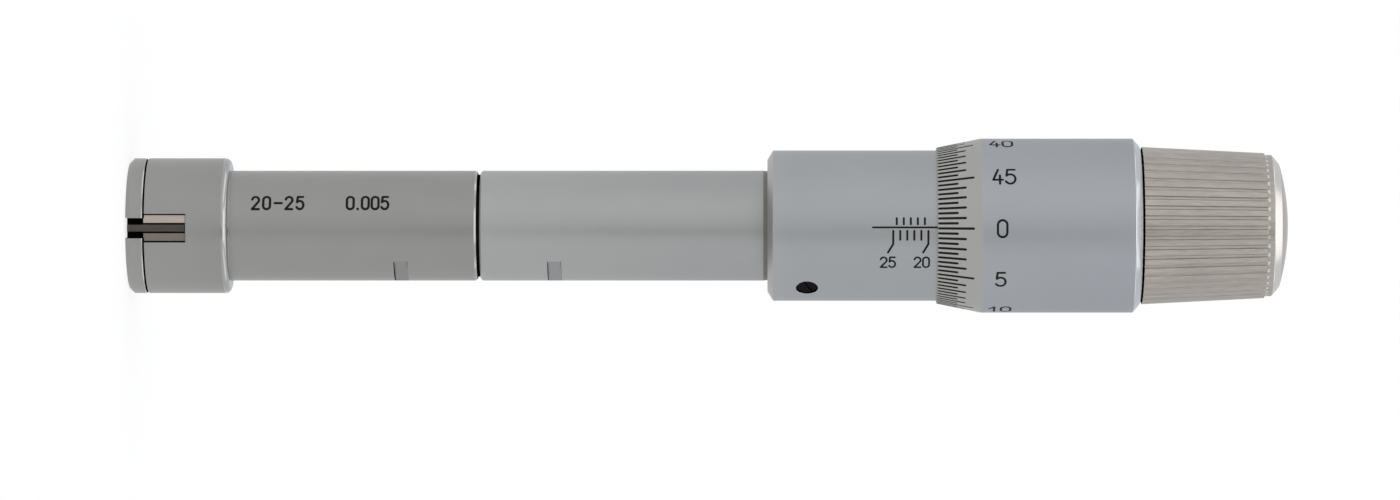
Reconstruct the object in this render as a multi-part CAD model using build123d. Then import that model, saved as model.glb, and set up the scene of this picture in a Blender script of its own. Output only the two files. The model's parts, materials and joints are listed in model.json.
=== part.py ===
from build123d import *
import math
import os

# A three-point internal micrometer, in millimetres. The instrument's axis is Z: the measuring head's
# flat front face lies at z = 0 and the ratchet knob is at the top. Azimuths are counted about Z from
# the -Y side towards +X. Every piece stands where it is with the scale at its lowest setting.

# Measuring movement
travel = 6.5  # axial, from the lowest setting to the largest bore
wedge_slope = 0.5  # how far an anvil moves out for each millimetre of the cone's travel
anvil_travel = travel * wedge_slope
anvil_count = 3
anvil_azimuth = 2.4
head_section_turn = 75.0  # from the first anvil to the plane that the head is turned from

# Clearances
fit = 0.02  # radial, between pieces that are fixed to each other
running = 0.03  # radial, between pieces that turn or slide in each other
contact = 0.02  # between faces that push on each other

# Measuring head
head_radius = 9.7
head_chamfer = 0.65
cap_thickness = 2.7
joint_bevel = 0.15
flange_end = 14.8
flange_rounding = 0.8
neck_radius = 7.9
neck_bevel = 0.3
head_end = 50.2
cap_recess_radius = 3.4
cap_recess_depth = 1.2
cap_slot_width = 2.9
nose_gap = 0.45  # between an anvil's nose and the floor of its slot

# Anvils and their carbide strips
anvil_width = 3.95
anvil_side_gap = 0.035
anvil_end_gap = 0.05
anvil_length = 5.8
anvil_inner_radius = 1.3
anvil_edge_drop = 0.65
foot_length = 2.85
strip_width = 1.4
strip_depth = 0.9
strip_crown_radius = 6.0
strip_front_gap = 0.27
strip_proud = 0.3
tip_sink = 0.45  # of the strips below the head's surface
nose_depth = 2.0
pocket_roof_wall = 1.5
pocket_end_gap = 0.3
anvil_spring_radius = 0.7
anvil_spring_wire = 0.26
anvil_spring_turns = 4
anvil_spring_spare = 0.06

# Cap screws
screw_rim = 2.25  # from the screws' circle to the head's surface
screw_radius = 0.8
screw_head_radius = 1.45
screw_head_depth = 0.65
screw_length = 6.5
screw_slot_width = 0.4
screw_slot_depth = 0.3

# Measuring cone and the rod that pushes it
cone_tip_inradius = 1.2
cone_tip_gap = 0.4
piston_length = 9.0
partition_thickness = 3.0
partition_gap = 1.0
rod_radius = 2.5
rod_spigot_radius = 2.0
rod_spigot_length = 7.0
rod_tail = 5.4
collar_length = 2.5
clip_thickness = 0.6
clip_depth = 0.4
clip_rim = 1.0
clip_gap_angle = 50
return_spring_wire = 0.8
return_spring_turns = 5.5
return_spring_spare = 2.1
ball_radius = 1.5
ball_stand = 1.3

# Joint between the head and the barrel
spigot_radius = 6.2
spigot_length = 7.6
socket_gap = 0.4
chamber_radius = 5.0

# Barrel
barrel_bevel = 0.35
barrel_bore_radius = 4.3
bush_radius = 5.0
bush_length = 16.0
bush_lead = 7.7
relief_step = 0.2
nut_seat_step = 0.8
nut_length = 22.0
barrel_overhang = 1.0
slit_width = 0.6
slit_length = 10.0

# Spanner flats, a pair on the neck and a pair on the barrel
flat_depth = 0.75
flat_width = 2.0
flat_azimuth = 66.0
neck_flat_height = 39.1
barrel_flat_height = 61.1

# Sleeve
sleeve_start = 91.6
sleeve_thickness = 2.9
sleeve_length = 35.4
sleeve_nose_rise = 0.8
sleeve_nose_depth = 1.35
sleeve_grip_length = 16.4
sleeve_wall = 1.0
set_screw_radius = 1.5
set_screw_gap = 0.08
set_screw_height = 5.65  # above the sleeve's front face
set_screw_azimuth = 55.8
set_screw_sink = 0.3
adjuster_length = 6.0
adjuster_gap = 0.3
adjuster_slot_width = 1.6
adjuster_slot_depth = 1.2

# Spindle
spindle_radius = 3.175
thread_radius = 3.95
thread_lead = 2.0
spindle_bevel = 0.4
taper_lead = 1.6
taper_large_radius = 3.8
taper_small_radius = 3.2
tail_radius = 2.5

# Thimble
sleeve_exposed_length = 24.5
thimble_bore_gap = 0.15
thimble_edge_thickness = 0.25
thimble_thickness = 1.55
thimble_cone_length = 6.1
thimble_bevel_depth = 1.14
thimble_bevel_rise = 0.98
thimble_end_gap = 1.5  # left behind the barrel at full travel
thimble_wall_thickness = 4.9
setting_nut_radius = 7.0
setting_nut_length = 3.6
setting_nut_slot_width = 2.0
setting_nut_slot_depth = 0.8
setting_nut_gap = 0.5
setting_nut_sink = 0.7

# Ratchet
knob_gap = 0.4
knob_base_radius = 11.3
knob_taper = 0.85
knob_grip_length = 17.2
knob_land_step = 0.2
knob_land_length = 1.1
knob_rounding_depth = 1.5
knob_rounding_rise = 1.3
knob_cavity_radius = 7.5
knob_web_thickness = 2.0
flute_count = 48
flute_depth = 0.28
flute_half_width = 0.26
flute_run_out = 0.35  # length over which a flute rises out of the land
key_count = 3
key_width = 2.0
key_depth = 1.0
wheel_start = 0.3  # above the knob's front face
wheel_thickness = 3.1
tooth_count = 24
tooth_height = 0.7
tooth_inner_radius = 3.6
tooth_gap = 0.05
tooth_back_off = 0.3  # degrees between the upright faces of meshed teeth
disc_thickness = 1.3
disc_rim_gap = 0.25
disc_rim = 0.15  # plain rim outside the teeth
disc_lug_length = 1.0
shoulder_gap = 0.1
shoulder_head_radius = 4.5
shoulder_head_thickness = 2.0
shoulder_thread_radius = 1.5
shoulder_thread_length = 6.0
ratchet_spring_radius = 4.1
ratchet_spring_wire = 0.8
ratchet_spring_turns = 5
end_cap_rise = 1.1
end_cap_seat = 0.5
end_cap_skirt_length = 1.6
end_cap_skirt_wall = 1.0
end_cap_skirt_step = 1.55
end_cap_room = 0.1  # between the shoulder screw's head and the end cap

# Radii that follow from the sizes above
tip_radius = head_radius - tip_sink
anvil_shoulder_radius = tip_radius - strip_proud
anvil_edge_radius = anvil_shoulder_radius - anvil_edge_drop
groove_floor = tip_radius - strip_depth
nose_floor = groove_floor - nose_depth
pocket_roof_radius = head_radius - pocket_roof_wall
foot_radius = pocket_roof_radius - anvil_travel - anvil_spring_turns * anvil_spring_wire - anvil_spring_spare
screw_circle = head_radius - screw_rim
relief_radius = bush_radius + relief_step
nut_seat_radius = relief_radius + nut_seat_step
sleeve_radius = neck_radius + sleeve_thickness
thimble_bore_radius = sleeve_radius + thimble_bore_gap
thimble_edge_radius = thimble_bore_radius + thimble_edge_thickness
thimble_radius = thimble_bore_radius + thimble_thickness
knob_crest_radius = knob_base_radius - knob_taper
knob_land_radius = knob_crest_radius - knob_land_step
knob_end_radius = knob_land_radius - knob_rounding_depth
end_cap_bore_radius = knob_end_radius - end_cap_skirt_step
disc_radius = knob_cavity_radius - disc_rim_gap
tooth_outer_radius = disc_radius - disc_rim

# Heights along the axis that follow from the sizes above
window_start = cap_thickness
window_end = window_start + anvil_length + 2 * anvil_end_gap
anvil_start = window_start + anvil_end_gap
anvil_end = anvil_start + anvil_length
foot_end = anvil_end + foot_length
cone_tip = cap_thickness - cap_recess_depth + cone_tip_gap + travel
piston_start = foot_end + travel + 2 * anvil_end_gap
piston_radius = cone_tip_inradius + wedge_slope * (piston_start - cone_tip)
piston_end = piston_start + piston_length
partition_start = piston_end + partition_gap
partition_end = partition_start + partition_thickness
return_spring_room = travel + return_spring_turns * return_spring_wire + return_spring_spare
collar_start = partition_end + return_spring_room
collar_end = collar_start + collar_length
rod_end = collar_end + clip_thickness + rod_tail
ball_height = rod_end + ball_stand - ball_radius
spindle_start = ball_height + ball_radius + contact
bush_start = spindle_start + bush_lead
bush_end = bush_start + bush_length
sleeve_end = sleeve_start + sleeve_length
sleeve_grip_end = sleeve_start + sleeve_grip_length
barrel_end = sleeve_end + barrel_overhang
nut_start = barrel_end - nut_length
thimble_edge = sleeve_start + sleeve_exposed_length
thimble_wall_start = barrel_end + travel + thimble_end_gap
thimble_recess_start = thimble_wall_start + thimble_wall_thickness
thimble_end = thimble_recess_start + setting_nut_length + setting_nut_sink
thread_start = nut_start - thread_lead
taper_start = thimble_wall_start - taper_lead
thread_end = taper_start - spindle_bevel
knob_start = thimble_end + knob_gap
grip_end = knob_start + knob_grip_length
land_end = grip_end + knob_land_length
knob_end = land_end + knob_rounding_rise
wheel_end = knob_start + wheel_start + wheel_thickness
disc_start = wheel_end + tooth_height + tooth_gap
disc_end = disc_start + disc_thickness
web_end = knob_end - end_cap_seat - end_cap_skirt_length - end_cap_room - shoulder_head_thickness
web_start = web_end - knob_web_thickness
spindle_end = wheel_end + shoulder_gap


def turned(*outline):
    """A piece turned about the instrument's axis from an outline of (radius, height) corners."""
    return revolve(Plane.XZ * make_face(Polyline(*outline, close=True)), Axis.Z)


def bar(start, end, width, low, high):
    """A rectangular bar that points along +X from start to end, between two heights."""
    size = (end - start, width, high - low)
    return Pos((start + end) / 2, 0, (low + high) / 2) * Box(*size)


def side_cut(width, *outline):
    """A plate across the XZ plane, cut to an outline of (x, z) corners."""
    return extrude(Plane.XZ * make_face(Polyline(*outline, close=True)), width / 2, both=True)


def around(piece, count, azimuth=0.0):
    """Copies of a piece that points along +X, spread evenly about the axis."""
    return [Rot(0, 0, azimuth - 90 + 360 * i / count) * piece for i in range(count)]


def coil(mean_radius, wire, turns, length):
    """A compression spring that stands on z = 0 and is as long as its seat."""
    rise = length - wire
    path = Helix(pitch=rise / turns, height=rise, radius=mean_radius)
    section = Plane(origin=path @ 0, z_dir=path % 0) * Circle(wire / 2)
    return Pos(0, 0, wire / 2) * sweep(section, path=path, is_frenet=True)


def spanner_flats(height):
    """The two cuts that leave a pair of flats for a thin spanner."""
    low = height - flat_width / 2
    cut = bar(neck_radius - flat_depth, neck_radius + flat_depth, 2 * neck_radius, low, low + flat_width)
    return around(cut, 2, flat_azimuth)


def on_head_section(piece):
    """Start the turned faces of a piece of the head between two windows, so that no window cuts their seam."""
    return around(piece, 1, anvil_azimuth + head_section_turn)[0]


def head_body():
    """Flange with the three anvil windows, and the long neck that carries it."""
    rim = head_radius - flange_rounding
    socket_floor = head_end - spigot_length - socket_gap
    outline = [
        Line((piston_radius + running, window_start), (head_radius - joint_bevel, window_start)),
        Line((head_radius - joint_bevel, window_start), (head_radius, window_start + joint_bevel)),
        Line((head_radius, window_start + joint_bevel), (head_radius, flange_end - flange_rounding)),
        RadiusArc((head_radius, flange_end - flange_rounding), (rim, flange_end), -flange_rounding),
        Polyline(
            (rim, flange_end),
            (neck_radius, flange_end),
            (neck_radius, head_end - neck_bevel),
            (neck_radius - neck_bevel, head_end),
            (spigot_radius + fit, head_end),
            (spigot_radius + fit, socket_floor),
            (chamber_radius, socket_floor),
            (chamber_radius, partition_end),
            (rod_radius + running, partition_end),
            (rod_radius + running, partition_start),
            (piston_radius + running, partition_start),
            (piston_radius + running, window_start),
        ),
    ]
    body = on_head_section(revolve(Plane.XZ * make_face(outline), Axis.Z))
    slot = anvil_width + 2 * anvil_side_gap
    window = bar(anvil_inner_radius, 2 * head_radius, slot, 0, window_end)
    pocket = bar(anvil_inner_radius, pocket_roof_radius, slot, window_start, foot_end + pocket_end_gap)
    tapped = Pos(screw_circle, 0, window_start + screw_length / 2) * Cylinder(screw_radius + fit, screw_length)
    half_step = 180 / anvil_count
    cuts = around(window, anvil_count, anvil_azimuth) + around(pocket, anvil_count, anvil_azimuth)
    cuts += around(tapped, anvil_count, anvil_azimuth + half_step)
    return body - cuts - spanner_flats(neck_flat_height)


def screw_shape(grow):
    """A countersunk screw that points along +Z from the front face, or its hole if grow is above 0."""
    shank = screw_radius + grow
    head = screw_head_radius + grow
    return turned((0, 0), (head, 0), (shank, screw_head_depth), (shank, screw_length), (0, screw_length))


def front_cap():
    """Disc that closes the head, with a slot for the nose of each anvil."""
    cap = turned(
        (0, 0),
        (head_radius - head_chamfer, 0),
        (head_radius, head_chamfer),
        (head_radius, cap_thickness - joint_bevel),
        (head_radius - joint_bevel, cap_thickness),
        (cap_recess_radius, cap_thickness),
        (cap_recess_radius, cap_thickness - cap_recess_depth),
        (0, cap_thickness - cap_recess_depth),
    )
    cap = on_head_section(cap)
    slot = bar(nose_floor - nose_gap, 2 * head_radius, cap_slot_width, -cap_thickness, 2 * cap_thickness)
    hole = Pos(screw_circle, 0, 0) * screw_shape(fit)
    slots = around(slot, anvil_count, anvil_azimuth)
    holes = around(hole, anvil_count, anvil_azimuth + 180 / anvil_count)
    return cap - slots - holes


def front_cap_screws():
    """The countersunk screws between the slots, slotted for a fine screwdriver."""
    slot = Box(2 * screw_head_radius + 1, screw_slot_width, 2 * screw_slot_depth)
    screw = Pos(screw_circle, 0, 0) * (screw_shape(0) - slot)
    return Compound(children=around(screw, anvil_count, anvil_azimuth + 180 / anvil_count))


def anvil():
    """Sliding jaw: block in the window, nose in the cap's slot and foot on the cone."""
    half = anvil_width / 2
    lip = strip_width / 2
    face_gap = contact * math.hypot(1, wedge_slope)
    wedge_low = cone_tip + (anvil_inner_radius - cone_tip_inradius - face_gap) / wedge_slope
    wedge_top = cone_tip_inradius + face_gap + wedge_slope * (foot_end - cone_tip)
    side = side_cut(
        anvil_width,
        (anvil_inner_radius, anvil_start),
        (anvil_shoulder_radius, anvil_start),
        (anvil_shoulder_radius, anvil_end),
        (foot_radius, anvil_end),
        (foot_radius, foot_end),
        (wedge_top, foot_end),
        (anvil_inner_radius, wedge_low),
    )
    roof = Polyline(
        (0, -half),
        (anvil_edge_radius, -half),
        (anvil_shoulder_radius, -lip),
        (anvil_shoulder_radius, lip),
        (anvil_edge_radius, half),
        (0, half),
        close=True,
    )
    nose = bar(nose_floor, groove_floor, strip_width, strip_front_gap, anvil_start)
    groove = bar(groove_floor, 2 * head_radius, strip_width, 0, anvil_end)
    block = side & extrude(make_face(roof), foot_end)
    return block + nose - groove


def carbide_strip():
    """Hard measuring strip along the anvil, crowned to touch a bore along one line."""
    strip = bar(groove_floor, tip_radius, strip_width, strip_front_gap, anvil_end)
    crown_middle = tip_radius - strip_crown_radius
    crown = Pos(crown_middle, 0, 0) * Cylinder(strip_crown_radius, 2 * anvil_end)
    return strip & crown


def anvil_spring():
    """Small spring between an anvil's foot and the roof of its pocket."""
    length = pocket_roof_radius - foot_radius - 2 * contact
    spring = coil(anvil_spring_radius, anvil_spring_wire, anvil_spring_turns, length)
    return Pos(foot_radius + contact, 0, (anvil_end + foot_end) / 2) * Rot(0, 90, 0) * spring


def measuring_cone():
    """Cone with a flat for each anvil, on a piston that slides in the head."""
    tip_radius_round = cone_tip_inradius / math.cos(math.pi / anvil_count)
    round_end = cone_tip + (piston_radius - tip_radius_round) / wedge_slope
    cone = turned(
        (0, cone_tip),
        (tip_radius_round, cone_tip),
        (piston_radius, round_end),
        (piston_radius, piston_end),
        (rod_spigot_radius + fit, piston_end),
        (rod_spigot_radius + fit, piston_end - rod_spigot_length),
        (0, piston_end - rod_spigot_length),
    )
    reach = 2 * piston_radius
    run = (reach - cone_tip_inradius) / wedge_slope
    flat = side_cut(2 * reach, (cone_tip_inradius, cone_tip), (reach, cone_tip), (reach, cone_tip + run))
    return cone - around(flat, anvil_count, anvil_azimuth)


def cone_rod():
    """Rod that carries the spindle's push through the neck to the cone."""
    clip_floor = rod_radius - clip_depth
    rod = turned(
        (0, piston_end - rod_spigot_length + contact),
        (rod_spigot_radius, piston_end - rod_spigot_length + contact),
        (rod_spigot_radius, piston_end + contact),
        (rod_radius, piston_end + contact),
        (rod_radius, collar_end),
        (clip_floor, collar_end),
        (clip_floor, collar_end + clip_thickness),
        (rod_radius, collar_end + clip_thickness),
        (rod_radius, rod_end),
        (0, rod_end),
    )
    return rod - Pos(0, 0, ball_height) * Sphere(ball_radius + contact)


def spring_collar():
    """Collar that the return spring pushes back, guided in the barrel's front bore."""
    outer = barrel_bore_radius - 2 * running
    inner = rod_radius + fit
    bevel = clip_depth
    return turned(
        (inner, collar_start),
        (outer - bevel, collar_start),
        (outer, collar_start + bevel),
        (outer, collar_end - bevel),
        (outer - bevel, collar_end),
        (inner, collar_end),
    )


def rod_clip():
    """Open retaining ring in the rod's groove, behind the collar."""
    inner = rod_radius - clip_depth + fit
    low = collar_end + contact / 2
    high = collar_end + clip_thickness - contact / 2
    outer = rod_radius + clip_rim
    ring = turned((inner, low), (outer, low), (outer, high), (inner, high))
    reach = 2 * outer
    spread = reach * math.tan(math.radians(clip_gap_angle / 2))
    corners = Polyline((0, 0), (reach, -spread), (reach, spread), close=True)
    mouth = Pos(0, 0, low - clip_thickness) * extrude(make_face(corners), 3 * clip_thickness)
    return ring - mouth


def return_spring():
    """Spring that draws the cone back when the spindle is unscrewed."""
    mean_radius = (rod_radius + barrel_bore_radius) / 2
    length = return_spring_room - 2 * contact
    spring = coil(mean_radius, return_spring_wire, return_spring_turns, length)
    return Pos(0, 0, partition_end + contact) * spring


def thrust_ball():
    """Hardened ball between the rod and the spindle."""
    return Pos(0, 0, ball_height) * Sphere(ball_radius)


def barrel():
    """Long tube from the head's socket to the slit end that clamps the spindle nut."""
    tube = turned(
        (barrel_bore_radius, head_end - spigot_length),
        (spigot_radius, head_end - spigot_length),
        (spigot_radius, head_end + contact),
        (neck_radius - barrel_bevel, head_end + contact),
        (neck_radius, head_end + barrel_bevel),
        (neck_radius, barrel_end),
        (nut_seat_radius, barrel_end),
        (nut_seat_radius, nut_start),
        (relief_radius, nut_start),
        (relief_radius, bush_end),
        (bush_radius, bush_end),
        (bush_radius, bush_start),
        (barrel_bore_radius, bush_start),
    )
    return tube - spanner_flats(barrel_flat_height) - end_slits()


def end_slits():
    """Slits in the end of the barrel and its nut, which let the adjusting nut close them."""
    slit = bar(0, 2 * neck_radius, slit_width, barrel_end - slit_length, barrel_end + slit_length)
    return around(slit, anvil_count)


def guide_bush():
    """Ground bush that guides the spindle's shank."""
    inner = spindle_radius + running
    outer = bush_radius - fit
    low = bush_start + contact
    return turned((inner, low), (outer, low), (outer, bush_end), (inner, bush_end))


def spindle_nut():
    """Long nut for the measuring thread, slit at its end."""
    inner = thread_radius + running
    outer = nut_seat_radius - fit
    low = nut_start + contact
    return turned((inner, low), (outer, low), (outer, barrel_end), (inner, barrel_end)) - end_slits()


def adjusting_nut():
    """Ring nut on the barrel's end that takes up wear in the thread, with spanner slots."""
    inner = neck_radius + fit
    high = barrel_end - contact
    low = high - adjuster_length
    outer = sleeve_radius - sleeve_wall - adjuster_gap
    ring = turned((inner, low), (outer, low), (outer, high), (inner, high))
    slot = bar(inner - 1, outer + 1, adjuster_slot_width, high - adjuster_slot_depth, high + 1)
    return ring - around(slot, 4, 45)


def sleeve():
    """Sleeve that carries the main scale, fixed to the barrel by a set screw."""
    inner = neck_radius + fit
    shell = turned(
        (inner, sleeve_start),
        (sleeve_radius - sleeve_nose_depth, sleeve_start),
        (sleeve_radius, sleeve_start + sleeve_nose_rise),
        (sleeve_radius, sleeve_end),
        (sleeve_radius - sleeve_wall, sleeve_end),
        (sleeve_radius - sleeve_wall, sleeve_grip_end),
        (inner, sleeve_grip_end),
    )
    hole = Rot(0, 90, 0) * Cylinder(set_screw_radius + set_screw_gap, 2 * sleeve_thickness)
    return shell - around(Pos(sleeve_radius, 0, sleeve_start + set_screw_height) * hole, 1, set_screw_azimuth)


def sleeve_set_screw():
    """Slotted grub screw in the sleeve."""
    low = neck_radius + contact
    high = sleeve_radius - set_screw_sink
    screw = Pos(0, 0, low) * Cylinder(set_screw_radius, high - low, align=(Align.CENTER, Align.CENTER, Align.MIN))
    slot = Pos(0, 0, high) * Rot(0, 0, -35) * Box(4 * set_screw_radius, screw_slot_width, 4 * screw_slot_depth)
    placed = Pos(0, 0, sleeve_start + set_screw_height) * Rot(0, 90, 0) * (screw - slot)
    return around(placed, 1, set_screw_azimuth)[0]


def taper_radius(height):
    """Radius at a height of the taper on which the thimble sits."""
    share = (height - taper_start) / (thimble_recess_start - taper_start)
    return taper_large_radius + (taper_small_radius - taper_large_radius) * share


def spindle():
    """Spindle: ground shank, measuring thread, taper for the thimble and threaded tail."""
    tapped_floor = spindle_end - shoulder_thread_length - 1
    return turned(
        (0, spindle_start),
        (spindle_radius - spindle_bevel, spindle_start),
        (spindle_radius, spindle_start + spindle_bevel),
        (spindle_radius, thread_start),
        (thread_radius - spindle_bevel, thread_start),
        (thread_radius, thread_start + spindle_bevel),
        (thread_radius, thread_end - spindle_bevel),
        (taper_large_radius - spindle_bevel, thread_end),
        (taper_large_radius - spindle_bevel, taper_start),
        (taper_large_radius, taper_start),
        (taper_small_radius, thimble_recess_start),
        (tail_radius, thimble_recess_start),
        (tail_radius, spindle_end),
        (shoulder_thread_radius + fit, spindle_end),
        (shoulder_thread_radius + fit, tapped_floor),
        (0, tapped_floor),
    )


def thimble():
    """Thimble: bevelled scale edge, plain drum and a wall that seats on the spindle's taper."""
    recess_radius = setting_nut_radius + setting_nut_gap
    return turned(
        (thimble_edge_radius, thimble_edge),
        (thimble_radius, thimble_edge + thimble_cone_length),
        (thimble_radius, thimble_end - thimble_bevel_rise),
        (thimble_radius - thimble_bevel_depth, thimble_end),
        (recess_radius, thimble_end),
        (recess_radius, thimble_recess_start),
        (taper_radius(thimble_recess_start) + fit, thimble_recess_start),
        (taper_radius(thimble_wall_start) + fit, thimble_wall_start),
        (thimble_bore_radius, thimble_wall_start),
        (thimble_bore_radius, thimble_edge),
    )


def setting_nut():
    """Slotted nut that holds the thimble on the taper at its zero setting."""
    inner = tail_radius + fit
    low = thimble_recess_start + contact
    high = low + setting_nut_length
    nut = turned((inner, low), (setting_nut_radius, low), (setting_nut_radius, high), (inner, high))
    reach = 2 * setting_nut_radius
    slot = bar(inner - 1, reach, setting_nut_slot_width, high - setting_nut_slot_depth, high + 1)
    return nut - around(slot, 2, anvil_azimuth)


def saw_teeth(base, corners):
    """A ring of radial saw teeth whose section has these corners, as shares of half pitch and height."""
    half_pitch = math.tan(math.pi / tooth_count)
    ends = []
    for radius in (tooth_inner_radius, tooth_outer_radius):
        section = Polyline(*[(side * radius * half_pitch, rise * tooth_height) for side, rise in corners], close=True)
        ends.append(Plane(origin=(radius, 0, base), x_dir=(0, 1, 0), z_dir=(1, 0, 0)) * make_face(section))
    return around(loft(ends, ruled=True), tooth_count)


def ratchet_wheel():
    """Ratchet wheel on the spindle's tail: its teeth let the drive slip one way only."""
    inner = tail_radius + fit
    outer = knob_cavity_radius - 2 * running
    low = knob_start + wheel_start
    body = turned((inner, low), (outer, low), (outer, wheel_end), (inner, wheel_end))
    return body + saw_teeth(wheel_end, [(-1, 0), (1, 0), (-1, 1)])


def ratchet_disc():
    """Sprung disc whose teeth mesh with the wheel and whose lugs slide in the knob's keyways."""
    inner = tail_radius + 4 * running
    body = turned((inner, disc_start), (disc_radius, disc_start), (disc_radius, disc_end), (inner, disc_end))
    side_gap = 2 * running
    reach = knob_cavity_radius + key_depth - side_gap
    lug = bar(tooth_outer_radius, reach, key_width - 2 * side_gap, disc_end - disc_lug_length, disc_end)
    teeth = saw_teeth(wheel_end + tooth_gap, [(-1, 1), (1, 0), (1, 1)])
    return body + around(lug, key_count) + [Rot(0, 0, -tooth_back_off) * tooth for tooth in teeth]


def ratchet_spring():
    """Spring that sets the measuring force."""
    length = web_start - disc_end - 2 * contact
    spring = coil(ratchet_spring_radius, ratchet_spring_wire, ratchet_spring_turns, length)
    return Pos(0, 0, disc_end + contact) * spring


def ratchet_screw():
    """Shoulder screw on which the knob turns, screwed into the spindle's tail."""
    low = spindle_end + contact
    head_start = web_end + contact
    head_end_height = head_start + shoulder_head_thickness
    screw = turned(
        (0, low - shoulder_thread_length),
        (shoulder_thread_radius, low - shoulder_thread_length),
        (shoulder_thread_radius, low),
        (tail_radius, low),
        (tail_radius, head_start),
        (shoulder_head_radius, head_start),
        (shoulder_head_radius, head_end_height),
        (0, head_end_height),
    )
    slot = Box(2 * shoulder_head_radius + 1, setting_nut_slot_depth, 2 * setting_nut_slot_depth)
    return screw - Pos(0, 0, head_end_height) * slot


def ratchet_knob():
    """Fluted knob, hollow for the ratchet and open at the back for its screw."""
    seat = knob_end - end_cap_seat
    keyway_end = disc_end + tooth_height + disc_lug_length
    outline = [
        Polyline(
            (knob_end_radius, knob_end),
            (knob_end_radius, seat),
            (end_cap_bore_radius, seat),
            (end_cap_bore_radius, web_end),
            (tail_radius + running, web_end),
            (tail_radius + running, web_start),
            (knob_cavity_radius, web_start),
            (knob_cavity_radius, knob_start),
            (knob_base_radius, knob_start),
            (knob_crest_radius, grip_end),
            (knob_land_radius, grip_end),
            (knob_land_radius, land_end),
        ),
        EllipticalCenterArc(
            (knob_end_radius, land_end), knob_rounding_depth, knob_rounding_rise, start_angle=0, arc_size=90
        ),
    ]
    knob = revolve(Plane.XZ * make_face(outline), Axis.Z)
    keyway = bar(0, knob_cavity_radius + key_depth, key_width, knob_start - 1, keyway_end)
    core = Pos(0, 0, web_start) * Cylinder(tail_radius + running, 2 * knob_grip_length)
    keyways = [key - core for key in around(keyway, key_count)]
    return knob - keyways - around(flute(), flute_count)


def flute():
    """Cutter for one shallow flute along the knob's slightly tapered grip, which runs out at the end of the land."""
    ends = []
    for height, lift in ((knob_start, 0), (land_end - flute_run_out, 0), (land_end, flute_depth)):
        crest = knob_base_radius - knob_taper * (height - knob_start) / knob_grip_length
        section = Polyline(
            (crest + lift - flute_depth, 0),
            (crest + lift + flute_depth, -2 * flute_half_width),
            (crest + lift + flute_depth, 2 * flute_half_width),
            close=True,
        )
        ends.append(Pos(0, 0, height) * make_face(section))
    return loft(ends, ruled=True)


def end_cap():
    """Domed cap pressed into the back of the knob."""
    seat = knob_end - end_cap_seat + contact
    rim = knob_end_radius - fit
    skirt = end_cap_bore_radius - fit
    skirt_inner = skirt - end_cap_skirt_wall
    tip = knob_end + end_cap_rise
    dome = (rim**2 + end_cap_rise**2) / (2 * end_cap_rise)
    outline = [
        RadiusArc((rim, knob_end), (0, tip), -dome),
        Polyline(
            (0, tip),
            (0, seat),
            (skirt_inner, seat),
            (skirt_inner, seat - end_cap_skirt_length),
            (skirt, seat - end_cap_skirt_length),
            (skirt, seat),
            (rim, seat),
            (rim, knob_end),
        ),
    ]
    return revolve(Plane.XZ * make_face(outline), Axis.Z)


def save(name, piece):
    """Write one piece as a STEP file named after its node."""
    export_step(piece, os.path.join("parts", name + ".step"))


def main():
    """Build every piece and write it to the parts folder."""
    os.makedirs("parts", exist_ok=True)
    single = [
        head_body,
        front_cap,
        front_cap_screws,
        measuring_cone,
        cone_rod,
        spring_collar,
        rod_clip,
        return_spring,
        thrust_ball,
        barrel,
        guide_bush,
        spindle_nut,
        adjusting_nut,
        sleeve,
        sleeve_set_screw,
        spindle,
        thimble,
        setting_nut,
        ratchet_wheel,
        ratchet_disc,
        ratchet_spring,
        ratchet_screw,
        ratchet_knob,
        end_cap,
    ]
    for make in single:
        save(make.__name__, make())
    for make in (anvil, carbide_strip, anvil_spring):
        for number, piece in enumerate(around(make(), anvil_count, anvil_azimuth), start=1):
            save(f"{make.__name__}_{number}", piece)


main()
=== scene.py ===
"""Looks of a three-point internal micrometer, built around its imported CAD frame.

The instrument's axis is +Z, its front face lies at z = 0 and its ratchet knob is at the top. Sizes are in
millimetres and meshes in metres. An azimuth is counted about Z from the -Y side, which faces the camera,
towards +X, which is the lower side of the picture: a point at radius r and azimuth a is
(r sin a, -r cos a, z).
"""

import json
import logging
import math
from dataclasses import dataclass
from enum import Enum
from typing import Callable, Optional, Sequence

import bmesh
import bpy
import numpy as np
from mathutils import Matrix, Vector
from numpy.typing import ArrayLike


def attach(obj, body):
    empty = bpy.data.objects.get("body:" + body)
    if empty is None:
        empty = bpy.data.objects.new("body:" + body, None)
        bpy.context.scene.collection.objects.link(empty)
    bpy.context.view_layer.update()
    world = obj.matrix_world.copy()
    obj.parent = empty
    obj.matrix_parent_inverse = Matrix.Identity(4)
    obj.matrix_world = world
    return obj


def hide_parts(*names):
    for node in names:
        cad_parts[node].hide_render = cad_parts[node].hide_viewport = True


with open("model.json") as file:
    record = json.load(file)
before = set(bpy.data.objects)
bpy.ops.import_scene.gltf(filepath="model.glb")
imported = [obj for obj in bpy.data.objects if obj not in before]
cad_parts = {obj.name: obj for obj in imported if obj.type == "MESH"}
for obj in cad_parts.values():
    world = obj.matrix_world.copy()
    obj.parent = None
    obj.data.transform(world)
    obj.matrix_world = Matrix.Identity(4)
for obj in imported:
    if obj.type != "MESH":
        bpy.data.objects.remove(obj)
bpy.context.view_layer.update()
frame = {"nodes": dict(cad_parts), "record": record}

MM = 0.001
WELD = 1e-7
SHARP = math.radians(21.0)
LOG = logging.getLogger("micrometer")


# ---------------------------------------------------------------- surfaces


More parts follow.
